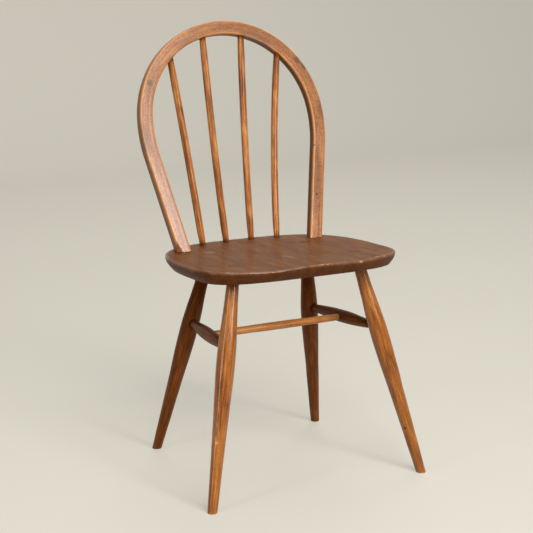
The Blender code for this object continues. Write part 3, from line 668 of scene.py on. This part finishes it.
for (end, side_name), (piece, foot, top) in leg_pieces.items():
    drill(piece, leg_holes[end, side_name])
    points = places(piece)
    under_seat = np.clip(-SEAT_THICKNESS - in_seat(points)[:, 2], 0, None)
    joint_dirt = grime_near(points, rail_mouths[end, side_name], LEG_JOINT_DIRT)
    rub = np.exp(-points[:, 2] / FOOT_RUB_HEIGHT)
    dirt_and_shade = np.maximum(0.85 * joint_dirt, 0.8 * np.exp(-under_seat / SHOULDER_DIRT))
    # The rear legs are darkened far down from the seat's underside: painted shade, the seat's shadow.
    if end == "rear":
        dirt_and_shade = np.maximum(dirt_and_shade, 0.7 * np.exp(-under_seat / REAR_LEG_SEAT_SHADOW))
    dress_turning(piece, foot, top, LEG_SEEDS[end, side_name], rub, dirt_and_shade)
    wood = front_leg_wood if end == "front" else rear_leg_shaded_wood
    finish_piece(piece, wood, f"leg_{end}_{side_name}")
    piece.data.materials.append(tenon_pale if (end, side_name) == ("rear", "left") else tenon_dark)
    centres = np.empty(3 * len(piece.data.polygons), np.float32)
    piece.data.polygons.foreach_get("center", centres)
    x, y, z = in_seat(centres.reshape(-1, 3)).T
    piece.data.polygons.foreach_set("material_index", (z + saddle(x, y) > -2 * TENON_DROP).astype(np.int32))
for (side_name, (rail, start, end)), socket in zip(side_rails.items(), cross_sockets):
    drill(rail, [(*socket, CROSS_RAIL_RADII[0] + HOLE_EASE)])
    mouths = rail_mouths["rear", side_name] + rail_mouths["front", side_name]
    dirt_and_shade = 0.85 * grime_near(places(rail), mouths, RAIL_DIRT)
    dress_turning(rail, start, end, 50, np.zeros(len(dirt_and_shade)), dirt_and_shade)
    finish_piece(rail, side_rail_shaded_wood, "side_stretcher_" + side_name)
drill(cross_rail, [])
cross_mouths = [(joint, SIDE_RAIL_RADII[1]) for joint in rail_middles]
dirt_and_shade = 0.8 * grime_near(places(cross_rail), cross_mouths, CROSS_RAIL_DIRT)
dress_turning(cross_rail, *cross_tips, 52, np.zeros(len(dirt_and_shade)), dirt_and_shade)
finish_piece(cross_rail, cross_rail_lit_wood, "cross_stretcher")

# The hoop: one length of wood, steamed and bent into a bow, with a round tenon at each foot, wedged below.
# Its arrises are rubbed to bare orange wood, and its face is mottled where hands have worn the varnish.
HOOP_FOOT_SIDEWAYS = 0.1403
HOOP_FOOT_BACKWARD = 0.1490
HOOP_LEAN = math.radians(17.74)
HOOP_SPLAY = math.radians(11.17)
HOOP_STRAIGHT = 0.186
HOOP_SHOULDER_RADIUS = 0.2550
HOOP_SHOULDER_TURN = math.radians(16.88)
HOOP_WIDTH = 0.026
HOOP_DEPTH = 0.020
HOOP_ARRIS = 0.0030
HOOP_TENON_RADIUS = 0.0088
HOOP_RINGS = 900
HOOP_FOOT_BLEND = 0.030
PARED_CORNER = 0.0070
PARED_LENGTH = 0.024

crown_heading = HOOP_SPLAY - HOOP_SHOULDER_TURN
HOOP_FOOT = np.array((HOOP_FOOT_SIDEWAYS, 0))
RUN_WAY = np.array((math.sin(HOOP_SPLAY), math.cos(HOOP_SPLAY)))
RUN_OUTWARD = np.array((math.cos(HOOP_SPLAY), -math.sin(HOOP_SPLAY)))
crown_outward = np.array((math.cos(crown_heading), -math.sin(crown_heading)))
shoulder_centre = HOOP_FOOT + HOOP_STRAIGHT * RUN_WAY - HOOP_SHOULDER_RADIUS * RUN_OUTWARD
shoulder_end = shoulder_centre + HOOP_SHOULDER_RADIUS * crown_outward
CROWN_RADIUS = shoulder_end[0] / math.cos(crown_heading)
CROWN_CENTRE = shoulder_end[1] + CROWN_RADIUS * math.sin(crown_heading)
SHOULDER_LENGTH = HOOP_SHOULDER_RADIUS * HOOP_SHOULDER_TURN
HOOP_HALF_LENGTH = HOOP_STRAIGHT + SHOULDER_LENGTH + CROWN_RADIUS * (math.pi / 2 + crown_heading)
lean_cos, lean_sin = math.cos(HOOP_LEAN), math.sin(HOOP_LEAN)
HOOP_FRAME = np.array(((1, 0, 0), (0, lean_sin, lean_cos), (0, -lean_cos, lean_sin)))
HOOP_BASE = on_seat((0, HOOP_FOOT_BACKWARD, 0))


def hoop_line(walked):
    """Centre line of the right half, by the length walked up from its foot: a straight run and two arcs.

    Gives places in the hoop's plane (sideways, up the lean) and headings from straight up, outward positive.
    """
    run = np.clip(walked, None, HOOP_STRAIGHT)
    bend = np.clip(walked - HOOP_STRAIGHT, 0, SHOULDER_LENGTH) / HOOP_SHOULDER_RADIUS
    crown = np.clip(walked - HOOP_STRAIGHT - SHOULDER_LENGTH, 0, None) / CROWN_RADIUS
    heading = HOOP_SPLAY - bend - crown
    on_run = HOOP_FOOT + run[:, None] * RUN_WAY
    outward = np.column_stack([np.cos(heading), -np.sin(heading)])
    on_bend = shoulder_centre + HOOP_SHOULDER_RADIUS * outward
    on_crown = np.array((0, CROWN_CENTRE)) + CROWN_RADIUS * outward
    place = np.where(bend[:, None] > 0, on_bend, on_run)
    return np.where(crown[:, None] > 0, on_crown, place), heading


def hoop_section():
    """Rectangle with rounded arrises, as (outward, forward) points, anticlockwise, closer on the arrises."""
    corner = np.array(((1, 1), (-1, 1), (-1, -1), (1, -1)))
    half = np.array((HOOP_WIDTH / 2 - HOOP_ARRIS, HOOP_DEPTH / 2 - HOOP_ARRIS))
    points = []
    for quarter, way in enumerate(corner):
        angle = math.pi / 2 * (quarter + np.linspace(0, 1, 9))
        arc = way * half + HOOP_ARRIS * np.column_stack([np.cos(angle), np.sin(angle)])
        goal = corner[(quarter + 1) % 4] * half
        turned = HOOP_ARRIS * np.array((math.cos(angle[-1]), math.sin(angle[-1])))
        points += [arc, way * half + turned + (goal - way * half) * np.linspace(0, 1, 10)[1:-1, None]]
    return np.concatenate(points)


def to_hoop_plane(points):
    """The chair's points in the hoop's own frame: sideways, up the lean, and forward."""
    return (points - HOOP_BASE) @ HOOP_FRAME.T


def hoop_rings():
    """Rings of the bow from the left tenon's end over the crown to the right one's.

    Each foot is cut to stand on the seat: its ring slides along the run until it meets the seat's plane.
    The left foot's outer front corner is pared off: where outward + forward passes a limit that falls towards
    the foot, both are drawn back by half of the excess.
    """
    section = hoop_section()
    travel = np.linspace(-HOOP_HALF_LENGTH, HOOP_HALF_LENGTH, HOOP_RINGS)
    side = np.where(travel < 0, -1.0, 1.0)
    walked = np.repeat((HOOP_HALF_LENGTH - np.abs(travel))[:, None], len(section), 1)
    pared = np.where(side < 0, PARED_CORNER, 0)[:, None] * np.clip(1 - walked / PARED_LENGTH, 0, 1)
    excess = np.clip(section.sum(1) - (HOOP_WIDTH + HOOP_DEPTH) / 2 + HOOP_ARRIS / 2 + pared, 0, None) / 2
    excess = np.where(pared > 0, excess, 0)
    out_by = section[:, 0] - excess
    forward = section[:, 1] - excess
    up = SEAT_TURN[:, 2]
    rise = (RUN_WAY @ HOOP_FRAME[:2]) @ up
    for sign, end in ((-1, 0), (1, -1)):
        outward = (np.array((sign, 1)) * RUN_OUTWARD) @ HOOP_FRAME[:2]
        foot = (HOLE_EASE - out_by[end] * (outward @ up) - forward[end] * (HOOP_FRAME[2] @ up)) / rise
        near = (side == sign)[:, None] & (walked < HOOP_FOOT_BLEND)
        slid = foot + (HOOP_FOOT_BLEND - foot) * walked / HOOP_FOOT_BLEND
        walked = np.where(near, slid, walked)
    place, heading = hoop_line(walked.ravel())
    place = place.reshape(*walked.shape, 2)
    heading = heading.reshape(walked.shape)
    outward = np.stack([np.cos(heading), -np.sin(heading)], -1)
    flat = place + outward * out_by[..., None]
    flat[..., 0] *= side[:, None]
    points = flat @ HOOP_FRAME[:2] + forward[..., None] * HOOP_FRAME[2] + HOOP_BASE
    return points, section


def hoop_foot_line(side):
    """Middle of a foot on the seat's top plane, and the way straight down its run."""
    mirrored = np.array((side, 1))
    return (mirrored * HOOP_FOOT) @ HOOP_FRAME[:2] + HOOP_BASE, -(mirrored * RUN_WAY) @ HOOP_FRAME[:2]


def hoop_tenon(side, section, ends):
    """Rings of a foot's round tenon on the run's line: at the cut foot, and flush with the underside."""
    start, down = hoop_foot_line(side)
    outward = (np.array((side, 1)) * RUN_OUTWARD) @ HOOP_FRAME[:2]
    angle = np.arctan2(section[:, 1], section[:, 0])
    ring = HOOP_TENON_RADIUS * (np.cos(angle)[:, None] * outward + np.sin(angle)[:, None] * HOOP_FRAME[2])
    up = SEAT_TURN[:, 2]
    rings = []
    for level in ends:
        lift = (level - in_seat(start + ring)[:, 2]) / (down @ up)
        rings.append(start + ring + lift[:, None] * down)
    return rings


bow, section = hoop_rings()
left_tenon = hoop_tenon(-1, section, (-SEAT_THICKNESS, HOLE_EASE))
right_tenon = hoop_tenon(1, section, (HOLE_EASE, -SEAT_THICKNESS))
hoop_piece = skin("bent_hoop", np.concatenate([left_tenon, bow, right_tenon]))
for side in SIDES.values():
    start, down = hoop_foot_line(side)
    seat_holes.append((start - 0.03 * down, start + 0.06 * down, HOOP_TENON_RADIUS + HOLE_EASE))

# The back sticks: four slim rods, shaved round by hand, tapered at both ends and bowed a little back.
# They stand glued in blind holes in the seat and the hoop, with old dirt left round both ends.
STICK_ROWS = {"inner": (0.1925, 0.0210, 0.2420, 0.0), "outer": (0.5680, 0.0282, 0.6750, 0.0029)}
STICK_SEEDS = {("inner", "left"): 60, ("inner", "right"): 69, ("outer", "left"): 66, ("outer", "right"): 63}
STICK_RADIUS = 0.0068
STICK_FOOT_RADIUS = 0.0056
STICK_TOP_RADIUS = 0.0061
STICK_FOOT_TAPER = 0.028
STICK_TOP_TAPER = 0.040
STICK_TOP_SETBACK = 0.001
STICK_BACK_BOW = 0.0047
STICK_TOP_FORWARD = 0.0014
STICK_SEAT_SOCKET = 0.014
STICK_HOOP_SOCKET = 0.009
STICK_RINGS = 260
STICK_POINTS = 48
STICK_JOINT_DIRT = 0.0025
STICK_TOP_DIRT = 0.045
HOOP_INNER_RADIUS = CROWN_RADIUS - HOOP_WIDTH / 2


def stick_line(side, row):
    """A stick's axis: the straight line from seat to hoop, plus a parabola 4s(1 - s) of its bow."""
    foot_share, inset, top_share, inward = STICK_ROWS[row]
    foot = on_seat((side * foot_share * HOOP_FOOT_SIDEWAYS, SEAT_BACK_REACH - inset, 0))
    height = CROWN_CENTRE + HOOP_INNER_RADIUS * math.sqrt(1 - top_share**2)
    top = np.array((side * top_share * HOOP_INNER_RADIUS, height, STICK_TOP_FORWARD)) @ HOOP_FRAME + HOOP_BASE
    bow_by = np.array((-side * inward, STICK_BACK_BOW, 0))
    length = np.linalg.norm(top - foot)

    def point(distance):
        share = np.asarray(distance)[..., None] / length
        return foot + (top - foot) * share + bow_by * 4 * share * (1 - share)

    return point, length, foot, top


def stick_rings(side, row, seed):
    """Rings of a stick: slim foot, full body with faint shaved flats, and its tenon under the hoop."""
    point, length, foot, top = stick_line(side, row)
    top_share = STICK_ROWS[row][2]
    neck = STICK_TOP_RADIUS * top_share / math.sqrt(1 - top_share**2) + STICK_TOP_SETBACK
    stations = np.array(
        (
            (-STICK_SEAT_SOCKET, STICK_FOOT_RADIUS),
            (0, STICK_FOOT_RADIUS),
            (STICK_FOOT_TAPER, STICK_RADIUS),
            (length - neck - STICK_TOP_TAPER, STICK_RADIUS),
            (length - neck, STICK_TOP_RADIUS),
            (length + STICK_HOOP_SOCKET, STICK_TOP_RADIUS),
        )
    )
    distance = np.linspace(-STICK_SEAT_SOCKET, length + STICK_HOOP_SOCKET, STICK_RINGS)
    radius = np.interp(distance, *stations.T)
    radius = np.convolve(np.pad(radius, 4, mode="edge"), np.ones(9) / 9, mode="valid")
    axes = along(foot, top)
    angle = np.linspace(0, 2 * math.pi, STICK_POINTS, endpoint=False)
    around = np.column_stack([np.cos(angle), np.sin(angle)]) @ axes[:2]
    points = point(distance)[:, None] + radius[:, None, None] * around
    free = ((distance > 0) & (distance < length))[:, None]
    shaved = 0.00014 * ripple(np.stack(np.broadcast_arrays(
        9 * np.cos(angle)[None], 9 * np.sin(angle)[None], distance[:, None] * 12), -1), 6.0, seed) * free
    return points + shaved[..., None] * around


stick_wood = varnished(
    "stick_varnished_beech",
    tones=((0.140, 0.030, 0.004), (0.470, 0.152, 0.024), (0.780, 0.360, 0.100)),
    bare=(0.700, 0.380, 0.150),
    ring_spacing=0.0030,
    pith=(0.015, 0.02, 0),
    streak=0.80,
    flecks=0.10,
    gloss=0.85,
    tint=(1.0, 0.6, 0.3),
)
hoop_holes = []
stick_feet = []
stick_tops = []
for row in STICK_ROWS:
    for side_name, side in SIDES.items():
        seed = STICK_SEEDS[row, side_name]
        point, length, foot, top = stick_line(side, row)
        stick = skin(f"back_stick_{row}_{side_name}", stick_rings(side, row, seed))
        drill(stick, [])
        points = places(stick)
        ends = [(foot, STICK_FOOT_RADIUS), (top, STICK_TOP_RADIUS)]
        from_top = np.linalg.norm(points - top, axis=1)
        dirt_and_shade = 0.9 * grime_near(points, ends, STICK_JOINT_DIRT)
        dirt_and_shade = np.maximum(dirt_and_shade, 0.35 * np.exp(-from_top / STICK_TOP_DIRT))
        dress_turning(stick, foot, top, seed, np.zeros(len(dirt_and_shade)), dirt_and_shade)
        finish_piece(stick, stick_wood, f"stick_{row}_{side_name}")
        socket_end = -STICK_SEAT_SOCKET - SOCKET_BOTTOM
        seat_holes.append((point(STICK_FOOT_TAPER / 2), point(socket_end), STICK_FOOT_RADIUS + HOLE_EASE))
        socket_end = length + STICK_HOOP_SOCKET + SOCKET_BOTTOM
        socket_start = point(length - STICK_HOOP_SOCKET)
        hoop_holes.append((socket_start, point(socket_end), STICK_TOP_RADIUS + HOLE_EASE))
        stick_feet.append((foot, STICK_FOOT_RADIUS))
        stick_tops.append((top, STICK_TOP_RADIUS))

HOOP_SHIFT = 9.0
HOOP_SIDE_DARKENING = {"inner": 0.82, "outer": 0.34}
SIDE_DARKENING_EDGE = 0.0012
ARRIS_RUB = 0.0036
STICK_MOUTH_DIRT = 0.002


def along_hoop(flat):
    """Places in the hoop's plane as (outward of its centre line, walked along it from the left foot)."""
    walk = np.linspace(0, HOOP_HALF_LENGTH, 700)
    line, heading = hoop_line(walk)
    chunks = np.array_split(np.abs(flat) * (1, 0) + flat * (0, 1), max(1, len(flat) // 2000))
    nearest = np.concatenate([((chunk[:, None] - line) ** 2).sum(2).argmin(1) for chunk in chunks])
    offset = np.column_stack([np.abs(flat[:, 0]), flat[:, 1]]) - line[nearest]
    out_by = offset[:, 0] * np.cos(heading[nearest]) - offset[:, 1] * np.sin(heading[nearest])
    walked = walk[nearest] + offset[:, 0] * np.sin(heading[nearest]) + offset[:, 1] * np.cos(heading[nearest])
    return out_by, np.where(flat[:, 0] < 0, walked, 2 * HOOP_HALF_LENGTH - walked)


def on_hoop_face(sideways, up):
    """Place on the hoop's own wood axes of a mark on its front face, given in the hoop's plane."""
    out_by, walked = along_hoop(np.array(((sideways, up),)))
    return out_by[0], HOOP_DEPTH / 2, walked[0] + HOOP_SHIFT


drill(hoop_piece, hoop_holes)
hoop_points = to_hoop_plane(places(hoop_piece))
out_by, hoop_walk = along_hoop(hoop_points[:, :2])
mark(hoop_piece, "wood", np.column_stack([out_by, hoop_points[:, 2], hoop_walk + HOOP_SHIFT]))
from_arris = np.hypot(HOOP_WIDTH / 2 - np.abs(out_by), HOOP_DEPTH / 2 - np.abs(hoop_points[:, 2]))
mark(hoop_piece, "rub", 1.25 * np.exp(-((from_arris / ARRIS_RUB) ** 2)))
# The hoop's sides are coloured darker than its face, the inner sides more than the outer.
past_face = np.clip((np.abs(out_by) - HOOP_WIDTH / 2 + SIDE_DARKENING_EDGE) / 0.001, 0, 1)
on_side = past_face * np.clip(from_arris / HOOP_ARRIS - 1, 0, 1)
side_darkening = np.where(out_by < 0, HOOP_SIDE_DARKENING["inner"], HOOP_SIDE_DARKENING["outer"]) * on_side
mouth_dirt = grime_near(places(hoop_piece), stick_tops, STICK_MOUTH_DIRT)
mark(hoop_piece, "dirt_and_shade", np.maximum(side_darkening, 0.8 * mouth_dirt))
STAIN = (0.120, 0.050, 0.030)
hoop_wood = varnished(
    "hoop_varnished_beech",
    tones=((0.180, 0.060, 0.020), (0.390, 0.152, 0.054), (0.600, 0.268, 0.104)),
    bare=(0.720, 0.270, 0.035),
    ring_spacing=0.0040,
    pith=(0.01, 0.03, 0),
    streak=0.46,
    flecks=0.34,
    gloss=1.0,
    tint=(1.0, 0.62, 0.36),
    knocks=(
        (on_hoop_face(-0.1642, 0.3195), (0.0075, 0.0090, 0.0075), STAIN, 0.85),
        (on_hoop_face(0.1518, 0.3488), (0.0065, 0.0090, 0.0100), STAIN, 0.80),
        (on_hoop_face(0.1632, 0.3363), (0.0045, 0.0090, 0.0110), STAIN, 0.80),
        (on_hoop_face(0.1769, 0.3237), (0.0055, 0.0090, 0.0075), STAIN, 0.70),
        (on_hoop_face(0.1542, 0.0821), (0.0028, 0.0060, 0.0032), CRACK_DARK, 0.90),
        (on_hoop_face(0.1541, 0.0742), (0.0018, 0.0060, 0.0020), CRACK_DARK, 0.75),
        (on_hoop_face(0.1640, 0.1787), (0.0020, 0.0060, 0.0030), CRACK_DARK, 0.80),
        (on_hoop_face(-0.1905, 0.2150), (0.0090, 0.0120, 0.0360), STAIN, 0.45),
        (on_hoop_face(0.0700, 0.3960), (0.0110, 0.0120, 0.0450), STAIN, 0.45),
        (on_hoop_face(-0.0800, 0.3930), (0.0100, 0.0120, 0.0360), STAIN, 0.35),
        (on_hoop_face(0.1900, 0.2450), (0.0090, 0.0120, 0.0260), STAIN, 0.35),
        (on_hoop_face(0.1620, 0.1250), (0.0080, 0.0120, 0.0700), STAIN, 0.32),
    ),
)
finish_piece(hoop_piece, hoop_wood, "hoop")
for side_name in SIDES:
    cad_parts[f"hoop_wedge_{side_name}"].data.materials.clear()
    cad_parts[f"hoop_wedge_{side_name}"].data.materials.append(wedge_end)

drill(seat_piece, seat_holes)
seat_points = in_seat(places(seat_piece))
SEAT_SHIFT = np.array((0.4, 0, 0.9))
mark(seat_piece, "wood", seat_points[:, [0, 2, 1]] + SEAT_SHIFT)
seat_reach = np.where(seat_points[:, 1] < 0, SEAT_FRONT_REACH, SEAT_BACK_REACH)
seat_power = np.where(seat_points[:, 1] < 0, *SEAT_TOP_SQUARENESS)
across_share = np.abs(seat_points[:, 0] / SEAT_HALF_WIDTH) ** seat_power
along_share = np.abs(seat_points[:, 1] / seat_reach) ** seat_power
seat_share = (across_share + along_share) ** (1 / seat_power)
below_top = -seat_points[:, 2] - saddle(seat_points[:, 0], seat_points[:, 1])
from_rim = np.hypot((1 - seat_share) * 0.17, below_top)
# The rim is rubbed pale all round, and more so towards the front: partly wear, partly a painted highlight
# along the front arris.
rim_wear_and_highlight = 0.45 + 0.25 * ripple(seat_points, 0.05, 71) + 0.4 * np.clip(-seat_points[:, 1] / 0.08 - 1, 0, 1)
mark(seat_piece, "rub", rim_wear_and_highlight * np.exp(-((from_rim / 0.0035) ** 2)))
hoop_feet = [(hoop_foot_line(side)[0], HOOP_WIDTH / 2) for side in SIDES.values()]
foot_dirt = grime_near(places(seat_piece), stick_feet + hoop_feet, 0.003)
edge_dirt = 0.36 * np.clip((below_top - SEAT_ARRIS) / 0.002, 0, 1)
mark(seat_piece, "dirt_and_shade", np.maximum(0.8 * foot_dirt, edge_dirt))


def on_seat_top(x, y):
    """Place on the seat's own wood axes of a mark on its top."""
    return x + SEAT_SHIFT[0], -saddle(x, y), y + SEAT_SHIFT[2]


seat_wood = varnished(
    "seat_stained_elm",
    tones=((0.080, 0.023, 0.006), (0.172, 0.058, 0.016), (0.285, 0.106, 0.034)),
    bare=(0.560, 0.350, 0.210),
    ring_spacing=0.0050,
    pith=(0.46, 0.09, 0),
    streak=0.56,
    flecks=0.12,
    gloss=0.12,
    polish=2.2,
    tint=(1.0, 0.66, 0.42),
    knocks=(
        (on_seat_top(-0.0890, 0.1707), (0.0024, 0.0030, 0.0024), CRACK_DARK, 0.8),
        (on_seat_top(0.0030, -0.0030), (0.0100, 0.0060, 0.0300), SCUFF_PALE, 0.2),
        (on_seat_top(0.0892, -0.1190), (0.0050, 0.0060, 0.0030), SCUFF_PALE, 0.7),
        (on_seat_top(0.1289, -0.1060), (0.0050, 0.0060, 0.0030), SCUFF_PALE, 0.7),
    ),
)
finish_piece(seat_piece, seat_wood, "seat")

# The studio: a plain pale floor that runs up behind the chair, and soft lamps in front, overhead and behind.
# The camera stands where the photograph's did, worked out from the chair's outlines.
CAMERA_PLACE = (-1.2292, -2.4095, 1.0256)
CAMERA_TURN = (math.radians(90 - 13.5283), 0, math.radians(-26.9615))
CAMERA_LENS = 100.22

camera = bpy.data.objects.new("camera", bpy.data.cameras.new("camera"))
bpy.context.scene.collection.objects.link(camera)
camera.location = CAMERA_PLACE
camera.rotation_euler = CAMERA_TURN
camera.data.lens = CAMERA_LENS
camera.data.sensor_width = 36
bpy.context.scene.camera = camera


def backdrop_mesh():
    """Floor that sweeps up into a wall behind: a flat run, a quarter turn, and a rise, drawn out sideways."""
    turn = np.linspace(0, math.pi / 2, 24)
    back, sweep = 3.0, 1.2
    y = np.concatenate([[-9.0], back + sweep * np.sin(turn), [back + sweep]])
    z = np.concatenate([[0.0], sweep * (1 - np.cos(turn)), [7.0]])
    profile = np.column_stack([np.zeros(len(y)), y, z])
    points = np.concatenate([profile + (-9, 0, 0), profile + (9, 0, 0)])
    count = len(profile)
    row = np.arange(count - 1)
    mesh = bpy.data.meshes.new("pale_floor")
    mesh.from_pydata(points, [], np.column_stack([row, row + count, row + count + 1, row + 1]).tolist())
    mesh.shade_smooth()
    return mesh


floor = bpy.data.objects.new("pale_floor", backdrop_mesh())
bpy.context.scene.collection.objects.link(floor)
floor_paint = bpy.data.materials.new("pale_floor")
floor_paint.use_nodes = True
floor_tree = floor_paint.node_tree
floor_shader = floor_tree.nodes["Principled BSDF"]


def seen(tree):
    """One for rays that show the background, straight or mirrored, and nought for those that only light."""
    ray = put(tree, "LightPath").outputs
    shown = maths(tree, "MAXIMUM", ray["Is Camera Ray"], ray["Is Glossy Ray"])
    return maths(tree, "MAXIMUM", shown, ray["Is Transmission Ray"])


floor_seen = seen(floor_tree)
floor_colour = mixed(floor_tree, floor_seen, (0.22, 0.11, 0.045, 1), (0.42, 0.40, 0.35, 1))
floor_glow = mixed(floor_tree, floor_seen, (0, 0, 0, 1), (0.36, 0.35, 0.30, 1))
floor_tree.links.new(floor_glow, floor_shader.inputs["Emission Color"])
floor_shader.inputs["Emission Strength"].default_value = 1.0
floor_tree.links.new(floor_colour, floor_shader.inputs["Base Color"])
floor_shader.inputs["Roughness"].default_value = 0.9
floor_shader.inputs["Specular IOR Level"].default_value = 0.0
floor.data.materials.append(floor_paint)

world = bpy.data.worlds.new("soft_room")
bpy.context.scene.world = world
world.use_nodes = True
world_tree = world.node_tree
world_colour = mixed(world_tree, seen(world_tree), (0.120, 0.116, 0.110, 1), (0.40, 0.385, 0.33, 1))
world_tree.links.new(world_colour, world_tree.nodes["Background"].inputs["Color"])


def lamp(name, azimuth, elevation, distance, size, power):
    """Soft rectangular lamp that faces the seat, placed by its bearing from the front and its height."""
    a, e = math.radians(azimuth), math.radians(elevation)
    target = np.array((0, 0, 0.45))
    away = np.array((math.sin(a) * math.cos(e), -math.cos(a) * math.cos(e), math.sin(e)))
    light = bpy.data.lights.new(name, "AREA")
    light.shape = "RECTANGLE"
    light.size, light.size_y = size
    light.energy = power
    made = bpy.data.objects.new(name, light)
    bpy.context.scene.collection.objects.link(made)
    made.location = target + distance * away
    made.rotation_euler = (math.radians(90) - e, 0, a)


lamp("key", -1, 39, 4.0, (2.80, 2.10), 122)
lamp("window_right", 18, 19, 4.0, (0.86, 0.90), 34)
lamp("strip_left", -74, 14, 4.0, (0.55, 1.80), 26)
lamp("overhead", 0, 80, 3.0, (2.50, 2.50), 20)
lamp("back_fill", 145, 52, 4.0, (2.00, 2.00), 34)
bpy.context.scene.view_settings.view_transform = "Standard"
